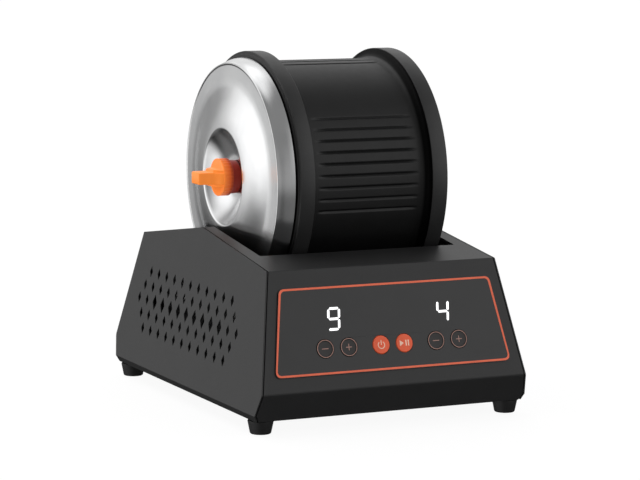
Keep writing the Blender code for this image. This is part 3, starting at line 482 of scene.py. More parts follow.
def rounded_section(points, radii, steps=4):
    """The same closed section with each corner rounded to its radius (0 leaves it sharp)."""
    made = []
    count = len(points)
    for i, (point, radius) in enumerate(zip(points, radii)):
        corner = Vector(point)
        if radius <= 0:
            made.append(tuple(corner))
            continue
        before = Vector(points[i - 1]) - corner
        after = Vector(points[(i + 1) % count]) - corner
        half = before.angle(after) / 2
        reach = min(radius / math.tan(half), 0.48 * before.length, 0.48 * after.length)
        start = corner + before.normalized() * reach
        end = corner + after.normalized() * reach
        for k in range(steps + 1):
            t = k / steps
            made.append(tuple((1 - t) ** 2 * start + 2 * t * (1 - t) * corner + t**2 * end))
    return made


def section_from(rows, steps=4):
    """rows of (z, radius, corner radius)."""
    return rounded_section([row[:2] for row in rows], [row[2] for row in rows], steps)


def in_mm(rows):
    """Rows of numbers in millimetres, as metres."""
    return [tuple(number * MM for number in row) for row in rows]


def turned_piece(name, section, sides, finish, body, node, smooth=35):
    """A piece turned about the barrel's axis, in place of one CAD node."""
    mesh = turned_mesh(name, section, BARREL_AXIS, even_angles(sides), smooth)
    add(name, mesh, finish, body, [node])


def circle(centre, radius, sides=48):
    turn = 2 * math.pi / sides
    return [
        (centre[0] + radius * math.cos(i * turn), centre[1] + radius * math.sin(i * turn))
        for i in range(sides)
    ]


def plate_mesh(name, loops, low, high, matrix=IDENTITY):
    """A flat solid between two heights: the first loop of (x, y) is its outline, the others its holes."""
    curve = bpy.data.curves.new(name, "CURVE")
    curve.dimensions = "2D"
    curve.fill_mode = "BOTH"
    curve.extrude = (high - low) / 2
    for loop in loops:
        spline = curve.splines.new("POLY")
        spline.points.add(len(loop) - 1)
        for point, (x, y) in zip(spline.points, loop):
            point.co = (x, y, 0, 1)
        spline.use_cyclic_u = True
    holder = loose(name, curve)
    flat = evaluated(holder)
    bpy.data.objects.remove(holder, do_unlink=True)
    bm = bmesh.new()
    bm.from_mesh(flat)
    place = matrix @ Matrix.Translation((0, 0, (high + low) / 2))
    bmesh.ops.transform(bm, matrix=place, verts=bm.verts)
    return from_bmesh(bm, name)


def prisms_mesh(name, polygons, low, high, matrix=IDENTITY):
    """Several flat solids in one mesh, each from a simple polygon of (x, y)."""
    bm = bmesh.new()
    for polygon in polygons:
        bottom = [bm.verts.new((x, y, low)) for x, y in polygon]
        top = [bm.verts.new((x, y, high)) for x, y in polygon]
        bm.faces.new(bottom[::-1])
        bm.faces.new(top)
        for i in range(len(polygon)):
            k = (i + 1) % len(polygon)
            bm.faces.new((bottom[i], bottom[k], top[k], top[i]))
    bmesh.ops.transform(bm, matrix=matrix, verts=bm.verts)
    return from_bmesh(bm, name)


def arc_band(centre, radius, width, start, end, steps=24):
    """A polygon for an arc line of this width, with angles in degrees."""
    outer, inner = [], []
    for i in range(steps + 1):
        angle = math.radians(start + (end - start) * i / steps)
        x, y = math.cos(angle), math.sin(angle)
        outer.append((centre[0] + (radius + width / 2) * x, centre[1] + (radius + width / 2) * y))
        inner.append((centre[0] + (radius - width / 2) * x, centre[1] + (radius - width / 2) * y))
    return outer + inner[::-1]


def bar(centre, width, height):
    x, y = centre
    w, h = width / 2, height / 2
    return [(x - w, y - h), (x + w, y - h), (x + w, y + h), (x - w, y + h)]


# ---------------------------------------------------------------- housing


def half_width(z):
    return HALF_WIDTH_BOTTOM - SIDE_LEAN * (z - FOOT_HEIGHT)


def lip_half_width(z):
    return half_width(LIP_Z) - LIP_IN * (LIP_Z - z) / (LIP_Z - FOOT_HEIGHT)


def side_outline():
    bend_y, bend_z = HOUSING_BEND
    shoulder_y, shoulder_z = HOUSING_SHOULDER
    lip_share = (LIP_Z - FOOT_HEIGHT) / (bend_z - FOOT_HEIGHT)
    lip_y = HOUSING_BOTTOM_Y + lip_share * (bend_y - HOUSING_BOTTOM_Y)
    return [
        (-HOUSING_BOTTOM_Y, FOOT_HEIGHT),
        (-lip_y, LIP_Z),
        (-bend_y, bend_z),
        (-shoulder_y, shoulder_z),
        (AXIS_Y, RIDGE_Z),
        (shoulder_y, shoulder_z),
        (bend_y, bend_z),
        (lip_y, LIP_Z),
        (HOUSING_BOTTOM_Y, FOOT_HEIGHT),
    ]


def folded_outline():
    """The side outline with its folds rounded as bent sheet is."""
    bend, shoulder = 3 * MM, 1.2 * MM
    radii = [0, 0, bend, shoulder, 6 * MM, shoulder, bend, 0, 0]
    return rounded_section(side_outline(), radii, steps=6)


def solid_sheet(name, points, faces, thickness):
    """A folded sheet from its outer faces, thickened inwards."""
    mesh = bpy.data.meshes.new(name)
    mesh.from_pydata([tuple(point) for point in points], [], faces)
    made = loose(name, mesh)
    step = made.modifiers.new("thickness", "SOLIDIFY")
    step.thickness = thickness
    step.offset = -1
    step.use_even_offset = True
    made.data = evaluated(made)
    made.modifiers.clear()
    return made


def opening_loop():
    """The outline of the barrel's opening, from above."""
    reach, front, back = OPENING_HALF_X, OPENING_FRONT_Y, OPENING_BACK_Y
    corners = [(-reach, front), (reach, front), (reach, back), (-reach, back)]
    return rounded_section(corners, [1.2 * MM] * 4, steps=6)


def top_cover():
    """The folded sheet, stopping a fine seam short of each side panel."""
    inset = (SIDE_EDGE + SEAM) / math.cos(SIDE_ANGLE)
    lip_inset = (SIDE_EDGE + SEAM) / math.cos(math.atan2(LIP_IN, LIP_Z - FOOT_HEIGHT))
    outline = folded_outline()
    points = []
    for y, z in outline:
        reach = half_width(z) - inset if z > LIP_Z else lip_half_width(z) - lip_inset
        points += [(-reach, y, z), (reach, y, z)]
    faces = [(2 * i, 2 * i + 1, 2 * i + 3, 2 * i + 2) for i in range(len(outline) - 1)]
    cover = solid_sheet("cover_work", points, faces, SHEET)
    low, high = HOUSING_SHOULDER[1] - 2 * SHEET, RIDGE_Z + SHEET
    boolean(cover, loose("opening", plate_mesh("opening", [opening_loop()], low, high)))
    deep = 3 * SHEET
    for u in BUTTONS.values():
        hole = plate_mesh("key_hole", [circle((u, BUTTON_S), KEY_HOLE_R)], -deep, deep, FRONT)
        boolean(cover, loose("key_hole", hole))
    inlet = plate_mesh("inlet_hole", [circle((-INLET_X, INLET_S), INLET_HOLE_R)], -deep, deep, REAR)
    boolean(cover, loose("inlet_hole", inlet))
    rounded(cover, 0.3 * MM, 2, 45)
    mesh = applied(cover, "top_cover_skin")
    add("top_cover_skin", mesh, PAINT, "base", ["top_cover"])


VENT_ROWS = (11, 12, 13, 12, 11)
VENT_PITCH = 13.3 * MM
VENT_ROW_STEP = 9.4 * MM
VENT_MIDDLE_Y = 9.4 * MM
VENT_MIDDLE_Z = 55.6 * MM
VENT_SMALL = (4.6 * MM, 7.6 * MM)
VENT_LARGE = (6.8 * MM, 10.6 * MM)
VENTS_LARGE_IN_MIDDLE_ROW = 9


def vent_mesh(side):
    """Cutters for one side panel's diamonds, each with slightly rounded corners."""
    bm = bmesh.new()
    lean = Matrix.Rotation(-side * SIDE_ANGLE, 4, "Y")
    middle = Matrix.Translation((side * half_width(VENT_MIDDLE_Z), VENT_MIDDLE_Y, VENT_MIDDLE_Z))
    for row, count in enumerate(VENT_ROWS):
        for column in range(count):
            from_middle = abs(column - (count - 1) / 2)
            large = row == len(VENT_ROWS) // 2 and from_middle < VENTS_LARGE_IN_MIDDLE_ROW / 2
            width, height = VENT_LARGE if large else VENT_SMALL
            y = (column - (count - 1) / 2) * VENT_PITCH
            z = ((len(VENT_ROWS) - 1) / 2 - row) * VENT_ROW_STEP
            diamond = [(width / 2, 0), (0, height / 2), (-width / 2, 0), (0, -height / 2)]
            loop = rounded_section(diamond, [0.25 * MM] * 4, steps=2)
            ends = []
            for x in (-2 * SHEET, 2 * SHEET):
                place = middle @ lean
                ends.append([bm.verts.new(place @ Vector((x, y + a, z + b))) for a, b in loop])
            bm.faces.new(ends[0])
            bm.faces.new(ends[1][::-1])
            for i in range(len(loop)):
                k = (i + 1) % len(loop)
                bm.faces.new((ends[0][k], ends[0][i], ends[1][i], ends[1][k]))
    return from_bmesh(bm, "vents")


def side_panel(name, side):
    wall = folded_outline()[1:-1]
    points = [(side * half_width(z), y, z) for y, z in wall]
    foot_x = side * lip_half_width(FOOT_HEIGHT)
    points += [(foot_x, y, FOOT_HEIGHT) for y in (HOUSING_BOTTOM_Y, -HOUSING_BOTTOM_Y)]
    count = len(wall)
    faces = [tuple(range(count)), (0, count - 1, count, count + 1)]
    if side > 0:
        faces = [face[::-1] for face in faces]
    panel = solid_sheet(f"{name}_work", points, faces, SIDE_EDGE)
    boolean(panel, loose("vents", vent_mesh(side)))
    rounded(panel, 0.15 * MM, 2, 24)
    mesh = applied(panel, f"{name}_skin")
    add(f"{name}_skin", mesh, PAINT, "base", [name])


def seam_flanges():
    """Strips folded in from the side panels behind the cover, so that no light shows through the seams."""
    behind, reach, thick = 4 * MM, 6 * MM, 0.8 * MM
    bend_y, bend_z = HOUSING_BEND
    shoulder_y, shoulder_z = HOUSING_SHOULDER
    route = [(HOUSING_BOTTOM_Y, LIP_Z + SHEET), (bend_y, bend_z), (shoulder_y, shoulder_z - 2 * SHEET)]
    for side, across in ((-1, "left"), (1, "right")):
        for end, along in ((-1, "front"), (1, "rear")):
            points = []
            for y, z in route:
                for inset in (SIDE_EDGE + 0.05 * MM, reach):
                    points.append((side * (half_width(z) - inset), end * (y - behind), z))
            name = f"seam_flange_{along}_{across}"
            strip = solid_sheet(f"{name}_work", points, [(0, 1, 3, 2), (2, 3, 5, 4)], thick)
            rounded(strip, 0.1 * MM, 1)
            add(name, applied(strip, name), INNER_PAINT, "base")


def feet():
    """Tapered rubber feet, each with a stem through the bottom plate and a head above it."""
    edge = FOOT_HEIGHT - GAP
    above = FOOT_HEIGHT + SHEET + GAP
    rows = [
        (0, 0, 0),
        (0, 2.6 * MM, 0),
        (1.4 * MM, 2.8 * MM, 0.3 * MM),
        (1.4 * MM, 3.9 * MM, 0.3 * MM),
        (0, 4.1 * MM, 0.4 * MM),
        (0, 6.4 * MM, 1.1 * MM),
        (edge - 1 * MM, 7.9 * MM, 0.4 * MM),
        (edge, 8.1 * MM, 0.5 * MM),
        (edge, 2.5 * MM, 0),
        (above, 2.5 * MM, 0),
        (above, 3.5 * MM, 0.2 * MM),
        (above + 3 * MM, 1.9 * MM, 0.3 * MM),
        (above + 3 * MM, 0, 0),
    ]
    section = section_from(rows, 3)
    for node in ("front_left", "front_right", "rear_left", "rear_right"):
        low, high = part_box(f"rubber_foot_{node}")
        place = Matrix.Translation(((low[0] + high[0]) / 2, (low[1] + high[1]) / 2, 0))
        mesh = turned_mesh(f"foot_{node}", section, place, even_angles(48))
        add(f"foot_{node}", mesh, SOFT_RUBBER, "base", [f"rubber_foot_{node}"])


# ---------------------------------------------------------------- panel


def fascia_loop(inset=0.0, radius=4 * MM):
    top_u, top_s = FASCIA_TOP
    low_u, low_s = FASCIA_BOTTOM
    corners = [
        (-low_u + inset, low_s + inset),
        (low_u - inset, low_s + inset),
        (top_u - inset, top_s - inset),
        (-top_u + inset, top_s - inset),
    ]
    return rounded_section(corners, [radius] * 4, steps=8)


def fascia():
    top = GAP + FASCIA_THICK
    holes = [circle((u, BUTTON_S), BUTTON_R + 0.35 * MM) for u in BUTTONS.values()]
    film = loose("film_work", plate_mesh("film", [fascia_loop(), *holes], GAP, top, FRONT))
    rounded(film, 0.15 * MM, 2, 60)
    add("fascia_film", applied(film, "fascia_film"), FILM, "base", ["control_fascia"])
    margin, line = 0.25 * MM, 1.25 * MM
    loops = [fascia_loop(margin, 3.9 * MM), fascia_loop(margin + line, 3.0 * MM)]
    outline = plate_mesh("fascia_outline", loops, top + 0.01 * MM, top + 0.07 * MM, FRONT)
    add("fascia_outline", outline, INK, "base")


SEGMENT_THICK = 1.15 * MM
SEGMENTS = {  # (across, up) of each middle in half sizes of the digit, and whether it lies level
    "a": ((0, 1), True),
    "g": ((0, 0), True),
    "d": ((0, -1), True),
    "f": ((-1, 0.5), False),
    "b": ((1, 0.5), False),
    "e": ((-1, -0.5), False),
    "c": ((1, -0.5), False),
}
DIGIT_LAYERS = (  # name, growth and height above the film in mm, finish
    ("outer_halo", 1.3, 0.01, HALO_FAINT),
    ("inner_halo", 0.6, 0.02, HALO),
    ("lit", 0.0, 0.03, LIT),
)


def segment_polygons(centre, lit, thick):
    """The lit segments' outlines. A greater thickness grows each one evenly all round."""
    half_w, half_h = 3.6 * MM, 6.4 * MM
    lean = math.tan(math.radians(6))
    tip = thick / 2
    polygons = []
    for key in lit:
        (across, up), level = SEGMENTS[key]
        reach = (half_w if level else half_h / 2) - 0.45 * MM + (thick - SEGMENT_THICK) / 2
        outline = [(-reach, 0), (-reach + tip, -tip), (reach - tip, -tip)]
        outline += [(reach, 0), (reach - tip, tip), (-reach + tip, tip)]
        outline = rounded_section(outline, [0.3 * MM] * 6, steps=2)
        if not level:
            outline = [(-y, x) for x, y in outline]
        polygon = []
        for x, y in outline:
            v = y + up * half_h
            u = x + across * half_w + v * lean
            polygon.append((centre[0] + u, centre[1] + v))
        polygons.append(polygon)
    return polygons


def digit(name, centre, lit):
    """A lit seven-segment digit, leaning as such digits do, and its soft halo in the film."""
    top = GAP + FASCIA_THICK
    for layer, extra, height, finish in DIGIT_LAYERS:
        polygons = segment_polygons(centre, lit, SEGMENT_THICK + extra * MM)
        low, high = top + height * MM, top + (height + 0.01) * MM
        mesh = prisms_mesh(f"{name}_{layer}", polygons, low, high, FRONT)
        add(f"{name}_{layer}", mesh, finish, "base")


def icon_polygons(name, centre):
    """The mark on a key: minus, plus, power, or play and pause."""
    x, y = centre
    if "minus" in name:
        return [bar(centre, 4.4 * MM, 0.44 * MM)]
    if "plus" in name:
        w, h = 2.0 * MM, 0.22 * MM
        cross = [(-w, -h), (-h, -h), (-h, -w), (h, -w), (h, -h), (w, -h)]
        cross += [(w, h), (h, h), (h, w), (-h, w), (-h, h), (-w, h)]
        return [[(x + a, y + b) for a, b in cross]]
    if "power" in name:
        ring = arc_band((x, y - 0.2 * MM), 2.2 * MM, 0.5 * MM, 128, 412)
        return [ring, bar((x, y + 1.3 * MM), 0.5 * MM, 2.9 * MM)]
    play = [(x - 3.3 * MM, y - 1.8 * MM), (x - 0.6 * MM, y), (x - 3.3 * MM, y + 1.8 * MM)]
    pause = [bar((x + across, y), 0.75 * MM, 3.6 * MM) for across in (1.0 * MM, 2.6 * MM)]
    return [play, *pause]


KEY_BOTTOM = -3.7 * MM
KEY_FLANGE_TOP = -2.6 * MM
KEY_FLANGE_R = BUTTON_R + 1.2 * MM


def keys():
    """Two flat orange keys and four dark dished ones, each with a flange that holds it behind the cover."""
    proud = GAP + FASCIA_THICK + 0.4 * MM
    for name, u in BUTTONS.items():
        orange = name in ("power_button", "start_pause_button")
        dish = 0.0 if orange else 0.25 * MM
        rim = BUTTON_R - 0.62 * MM
        rows = [
            (KEY_BOTTOM, 0, 0),
            (KEY_BOTTOM, KEY_FLANGE_R, 0.2 * MM),
            (KEY_FLANGE_TOP, KEY_FLANGE_R, 0.2 * MM),
            (KEY_FLANGE_TOP, BUTTON_R, 0.1 * MM),
            (proud, BUTTON_R, 0.3 * MM),
            (proud, rim, 0.1 * MM),
            (proud - dish, rim - 0.5 * MM, 0.2 * MM),
            (proud - dish, 0, 0),
        ]
        place = FRONT @ Matrix.Translation((u, BUTTON_S, 0))
        cap = turned_mesh(f"{name}_cap", section_from(rows, 3), place, even_angles(64))
        add(f"{name}_cap", cap, KEY_ORANGE if orange else KEY_DARK, name, [name])
        face = proud - dish
        if not orange:
            loops = [circle((u, BUTTON_S), radius, 64) for radius in (BUTTON_R - 0.12 * MM, rim + 0.1 * MM)]
            ring = plate_mesh(f"{name}_ring", loops, proud - 0.02 * MM, proud + 0.03 * MM, FRONT)
            add(f"{name}_ring", ring, KEY_LINE, name)
        polygons = icon_polygons(name, (u, BUTTON_S))
        icon = prisms_mesh(f"{name}_icon", polygons, face - 0.02 * MM, face + 0.04 * MM, FRONT)
        add(f"{name}_icon", icon, ICON if orange else KEY_LINE, name)


# ---------------------------------------------------------------- barrel and lid

GROOVE_GROUPS = 4
GROOVES_IN_GROUP = 9
GROOVE_PITCH = math.radians(5.8)
GROOVE_PHASE = math.radians(10.6)
GROOVE_HALF = 1.25 * MM
GROOVE_DEPTH = 0.95 * MM
GROOVE_START_X = -29 * MM
GROOVE_END_X = 40.4 * MM
GROOVE_RUN_OUT = 7 * MM
MOUTH_R = 60 * MM
SEAL_INNER_R = 62.4 * MM
SEAL_OUTER_R = 66.6 * MM
SEAL_DEPTH = 2.8 * MM
END_PANEL_X = END_X - 2.5 * MM
CAVITY_R = 66 * MM
CAVITY_START_X = MOUTH_X + 8 * MM
CAVITY_END_X = END_X - 7.3 * MM


def groove_angles():
    """Angles about the barrel's local Z of each groove's middle."""
    found = []
    for group in range(GROOVE_GROUPS):
        for groove in range(GROOVES_IN_GROUP):
            angle = 2 * math.pi * group / GROOVE_GROUPS + GROOVE_PHASE
            angle += (groove - (GROOVES_IN_GROUP - 1) / 2) * GROOVE_PITCH
            found.append((-math.pi / 2 - angle) % (2 * math.pi))
    return sorted(found)


def barrel_angles():
    """Columns round the barrel: close together at each groove, and even in between."""
    half = GROOVE_HALF / BODY_R
    offsets = [half * t for t in (-1.35, -1, -0.7, -0.35, 0, 0.35, 0.7, 1, 1.35)]
    middles = groove_angles()
    columns = []
    for i, middle in enumerate(middles):
        columns += [middle + offset for offset in offsets]
        following = middles[(i + 1) % len(middles)] + (2 * math.pi if i == len(middles) - 1 else 0)
        start, end = middle + offsets[-1], following + offsets[0]
        count = max(2, round((end - start) / math.radians(1.6)))
        columns += [start + (end - start) * k / count for k in range(1, count)]
    return columns


def groove_shape():
    """A function that lowers the body's radius along each groove, more gently towards its ends."""
    middles = groove_angles()
    half = GROOVE_HALF / BODY_R

    def radius_at(z, radius, angle):
        if radius < BODY_R - 0.3 * MM or radius > BODY_R + 0.3 * MM:
            return radius
        if z <= GROOVE_START_X or z >= GROOVE_END_X:
            return radius
        nearest = min(abs((angle - middle + math.pi) % (2 * math.pi) - math.pi) for middle in middles)
        across = min(1.0, nearest / half)
        profile = 0.5 + 0.5 * math.cos(math.pi * across)
        run = min(z - GROOVE_START_X, GROOVE_END_X - z) / GROOVE_RUN_OUT
        return radius - GROOVE_DEPTH * profile * min(1.0, max(0.0, run)) ** 0.7

    return radius_at


def barrel():
    """The barrel in one profile: mouth, left ring, grooved body, right ring, end, and its cavity."""
    left, right = MOUTH_X + RING_WIDTH, END_X - RING_WIDTH
    collar_r = BODY_R + 0.5 * MM
    outside = [(left + 1.6 * MM, collar_r), (-30.4 * MM, collar_r), (-30.1 * MM, BODY_R)]
    stations = [-29, -28.2, -27, -25, -22, -15, 0, 15, 27, 33.5, 36.5, 38.5, 39.7]
    outside += [(station * MM, BODY_R) for station in stations]
    sweep, rise = 7 * MM, 5.6 * MM  # the curve up to the right ring
    for i in range(10):
        angle = math.pi / 2 * i / 9
        outside.append((right - sweep * (1 - math.sin(angle)), BODY_R + rise * (1 - math.cos(angle))))
    rows = [
        (MOUTH_X, MOUTH_R, 0.5 * MM),
        (MOUTH_X, SEAL_INNER_R, 0),
        (MOUTH_X + SEAL_DEPTH, SEAL_INNER_R, 0),
        (MOUTH_X + SEAL_DEPTH, SEAL_OUTER_R, 0),
        (MOUTH_X, SEAL_OUTER_R, 0),
        (MOUTH_X, RING_R - 2.2 * MM, 0.3 * MM),
        (MOUTH_X + 0.7 * MM, RING_R - 1.7 * MM, 0.2 * MM),
        (MOUTH_X + 0.7 * MM, RING_R, 0.6 * MM),
        (left, RING_R, 0.8 * MM),
        (left, collar_r, 1.2 * MM),
        *[(x, r, 0) for x, r in outside],
        (right, RING_R, 0.8 * MM),
        (END_X, RING_R, 1.0 * MM),
        (END_X, RING_R - 8 * MM, 1.0 * MM),
        (END_PANEL_X, RING_R - 12 * MM, 1.5 * MM),
        (END_PANEL_X, 34 * MM, 0.6 * MM),
        (END_X - 1.3 * MM, 33 * MM, 0.6 * MM),
        (END_X - 1.3 * MM, 29 * MM, 0.6 * MM),
        (END_PANEL_X, 28 * MM, 0.6 * MM),
        (END_PANEL_X, 0, 0),
        (CAVITY_END_X, 0, 0),
        (CAVITY_END_X, CAVITY_R - 4 * MM, 2 * MM),
        (CAVITY_END_X - 4 * MM, CAVITY_R, 2 * MM),
        (CAVITY_START_X, CAVITY_R, 1.5 * MM),
        (CAVITY_START_X, MOUTH_R, 0.5 * MM),
    ]
    section = section_from(rows, 3)
    mesh = turned_mesh("barrel_shell", section, BARREL_AXIS, barrel_angles(), 32, groove_shape())
    add("barrel_shell", mesh, RUBBER, "barrel", ["barrel_body"])


def gasket():
    front, back = MOUTH_X - 0.1 * MM, MOUTH_X + 2.4 * MM
    inner, outer = 62.8 * MM, 66.2 * MM
    rows = [
        (front, inner, 0.5 * MM),
        (front, outer, 0.5 * MM),
        (back, outer, 0.3 * MM),
        (back, inner, 0.3 * MM),
    ]
    section = section_from(rows)
    turned_piece("gasket_ring", section, 96, SOFT_RUBBER, "barrel_lift", "mouth_gasket")


def inner_lid():
    back = MOUTH_X - 0.5 * MM
    front = back - 2.5 * MM
    rows = [
        (-51.7 * MM, 3.3 * MM, 0.2 * MM),
        (-51.7 * MM, 13 * MM, 0.6 * MM),
        (front, 15 * MM, 1.0 * MM),
        (front, 40 * MM, 0.5 * MM),
        (front + 1 * MM, 42 * MM, 0.5 * MM),
        (front + 1 * MM, 56 * MM, 0.5 * MM),
        (front, 58 * MM, 0.5 * MM),
        (front, 70 * MM, 0.8 * MM),
        (back, 70 * MM, 0.5 * MM),
        (back, 59.5 * MM, 0.2 * MM),
        (-40.7 * MM, 59 * MM, 0.8 * MM),
        (-40.7 * MM, 52 * MM, 0.8 * MM),
        (-43 * MM, 50 * MM, 0.8 * MM),
        (-43 * MM, 3.3 * MM, 0),
    ]
    section = section_from(rows)
    turned_piece("inner_lid_plug", section, 96, SOFT_RUBBER, "inner_lid", "inner_lid")


def lid_stud():
    """The stud's plate, its plain shank, its thread and its chamfered end."""
    plate = in_mm([(-40.7, 0, 0), (-40.7, 6.5, 0.5), (-42.7, 7, 0.2), (-42.7, 3, 0)])
    thread = []
    for turn in range(7):
        x = -52 - 2 * turn
        thread += in_mm([(x, 3), (x - 0.5, 2.6), (x - 1.0, 3)])
    end = in_mm([(-65.4, 3), (-66, 2.4), (-66, 0)])
    section = section_from(plate) + thread + end
    turned_piece("lid_stud_steel", section, 32, ZINC, "inner_lid", "lid_stud")


def smooth_line(points, steps=5):
    """Points along a smooth curve through the given ones."""
    points = [Vector(point) for point in points]
    ends = [2 * points[0] - points[1], *points, 2 * points[-1] - points[-2]]
    line = []
    for a, b, c, d in zip(ends, ends[1:], ends[2:], ends[3:]):
        slope = c - a
        bend = 2 * a - 5 * b + 4 * c - d
        twist = 3 * b - a - 3 * c + d
        for i in range(steps):
            t = i / steps
            line.append(0.5 * (2 * b + t * slope + t**2 * bend + t**3 * twist))
    return [*line, points[-1]]


def outer_lid():
    """The pressed stainless lid: floor and side of the bowl, rim, dome, flat annulus, bead and shoulder."""
    floor, rim_x = -53 * MM, -62.0 * MM
    floor_r, rim_r = 13 * MM, 30.3 * MM
    line = [(floor, 4.5 * MM), (floor, 9 * MM)]
    for i in range(17):
        share = i / 16
        line.append((floor + (rim_x - floor) * share**1.7, floor_r + (rim_r - floor_r) * share))
    line += in_mm([(-62.25, 30.75), (-62.38, 31.2), (-62.4, 31.7)])
    dome = [(-62.35, 32.4), (-62.0, 36), (-61.2, 41), (-59.8, 47), (-58.1, 53), (-57.0, 57.2)]
    line += smooth_line(in_mm([*dome, (-56.62, 59.6)]), 4)
    line += in_mm([(-56.5, 64), (-56.45, 71.0)])
    bead = [(-56.45, 71.5), (-56.75, 71.85), (-56.85, 72.3), (-56.6, 72.75), (-55.9, 72.95)]
    shoulder = [(-54.6, 73.4), (-52.2, 74.6), (-49.4, 75.5), (-46.8, 76.0)]
    line += smooth_line(in_mm(bead + shoulder), 3)
    line += in_mm([(-46.1, 76.1), (-45.9, 75.9)])
    line = [Vector(point) for point in line]
    thick = 0.9 * MM
    inner = []
    for i, point in enumerate(line):
        before, after = line[max(i - 1, 0)], line[min(i + 1, len(line) - 1)]
        heading = (after - before).normalized()
        inner.append(point + thick * Vector((heading.y, -heading.x)))
    section = [tuple(point) for point in [*line, *inner[::-1]]]
    turned_piece("outer_lid_steel", section, 128, STEEL, "outer_lid", "outer_lid", 50)


def knob():
    """The wing knob: ribbed hub on a neck, and a grip bar that steps down to a paddle."""
    ribs, rib_depth = 30, 0.42 * MM
    paddle_half, root_half = 3.8 * MM, 5.5 * MM

    def ribbed(z, radius, angle):
        if radius < 11.7 * MM or z > -59.6 * MM or z < -64.9 * MM:
            return radius
        return radius - rib_depth * (0.5 - 0.5 * math.cos(ribs * angle))

    rows = [
        (-54.8, 3.6, 0),
        (-54.8, 8.9, 0.2),
        (-53.5, 9.2, 0.2),
        (-53.5, 10.6, 0.3),
        (-57.6, 10.9, 0.3),
        (-58.9, 10.9, 0.2),
        (-59.0, 11.7, 0.2),
        (-59.3, 12, 0),
        (-59.5, 12, 0),
        (-59.8, 12, 0),
        (-64.7, 12, 0),
        (-65.0, 12, 0),
        (-65.9, 12, 0.8),
        (-65.9, 3.6, 0),
    ]
    section = section_from(in_mm(rows))
    hub = loose("hub_work", turned_mesh("hub", section, BARREL_AXIS, even_angles(ribs * 6), 35, ribbed))
    half = [(-63, 11.7), (-66.4, 11.5), (-68.6, 10.2), (-70.6, 7.9), (-72.4, 7.3), (-80.2, 6.6)]
    outline = in_mm([*half, (-81.1, 5.7)])
    outline += [(x, -y) for x, y in reversed(outline)]
    lying = Matrix.Translation((0, AXIS_Y, AXIS_Z))
    paddle = loose("paddle_work", plate_mesh("paddle", [outline], -paddle_half, paddle_half, lying))
    rounded(paddle, 0.9 * MM, 3, 50)
    paddle = loose("paddle_round", applied(paddle, "paddle_round"))
    root = in_mm([(-64, 10.6), (-67.2, 10.0), (-69.8, 7.4), (-71.2, 6.0)])
    root += [(x, -y) for x, y in reversed(root)]
    block = loose("root_work", plate_mesh("root", [root], -root_half, root_half, lying))
    rounded(block, 1.1 * MM, 3, 50)
    block = loose("root_round", applied(block, "root_round"))
    boolean(hub, paddle, "UNION")
    boolean(hub, block, "UNION")
    mesh = applied(hub, "wing_knob_body")
    smoothed(mesh, 30)
    add("wing_knob_body", mesh, ORANGE, "knob", ["wing_knob"])


def knob_washer():
    rows = [(-53.3, 3.5, 0.1), (-53.3, 8.2, 0.2), (-54.5, 8.2, 0.3), (-54.5, 3.5, 0.1)]
    section = section_from(in_mm(rows))
    turned_piece("knob_washer_ring", section, 64, ZINC, "knob_washer", "knob_washer")


# ---------------------------------------------------------------- the CAD nodes that stay

CAD_FINISHES = {
    "painted_steel": INNER_PAINT,
    "black_rubber": SOFT_RUBBER,
    "zinc_plated_steel": ZINC,
    "white_nylon": NYLON,
    "circuit_board": BOARD,
    "black_plastic": BLACK,
    "brass": BRASS,
    "fascia_film": FILM,
    "orange_plastic": ORANGE,
    "key_plastic": KEY_DARK,
    "stainless_steel": STEEL,
}


def finish_cad_nodes():
    for part in frame["record"]["subparts"]:
        node = frame["nodes"][part["node"]]
        for place in node.material_slots:
            place.material = CAD_FINISHES[part["material_slot"]]


# ---------------------------------------------------------------- studio


CAMERA_PLACE = (-0.7479, -1.5701, 0.3378)
CAMERA_HEADING = math.radians(25.599)  # to the right of straight ahead
CAMERA_TILT = math.radians(7.766)  # below level
CAMERA_ROLL = math.radians(0.435)
CAMERA_LENS = 152.18
SENSOR_WIDTH = 36


def camera():
    """The photograph's viewpoint, found by fitting the housing and the barrel."""
    data = bpy.data.cameras.new("camera")
    data.sensor_width = SENSOR_WIDTH
    data.lens = CAMERA_LENS
    data.clip_start = 0.05
    data.clip_end = 50
    place = (
        Matrix.Translation(CAMERA_PLACE)
        @ Matrix.Rotation(-CAMERA_HEADING, 4, "Z")
        @ Matrix.Rotation(math.pi / 2 - CAMERA_TILT, 4, "X")
        @ Matrix.Rotation(CAMERA_ROLL, 4, "Z")
    )
    bpy.context.scene.camera = loose("camera", data, place)


TOP_LIGHT_PLACE = (-0.5, 0.5, 1.5)
TOP_LIGHT_TARGET = (0, 0, 0.1)
PAPER_GLOW = 0.93
FLOOR_RADIUS = 12


def floor():
    """White paper, lit from below as well, so that shadows on it stay faint."""
    made = Shader("floor_paper", roughness=0.95, specular=0.1)
    dark, light = (0.085, 0.085, 0.085), (0.095, 0.095, 0.095)
    made.surface("Base Color", made.ramp(made.noise(3, detail=3), [(0.3, dark), (0.7, light)]))
    made.glow((1, 1, 1, 1), PAPER_GLOW)
    bm = bmesh.new()
    bmesh.ops.create_circle(bm, cap_ends=True, segments=96, radius=FLOOR_RADIUS)
    mesh = bpy.data.meshes.new("floor")
    bm.to_mesh(mesh)
    bm.free()
    mesh.materials.append(made.material)
    plane = loose("floor", mesh)
    plane.visible_diffuse = False
    plane.visible_glossy = False


def top_light():
    """A large soft light over the rear left, which reflections don't show."""
    data = bpy.data.lights.new("top", "AREA")
    data.shape = "SQUARE"
    data.size = 1.2
    data.energy = 5.5
    made = loose("top", data)
    made.location = TOP_LIGHT_PLACE
    aim = Vector(TOP_LIGHT_TARGET) - Vector(TOP_LIGHT_PLACE)
    made.rotation_euler = aim.to_track_quat("-Z", "Y").to_euler()
    made.visible_glossy = False


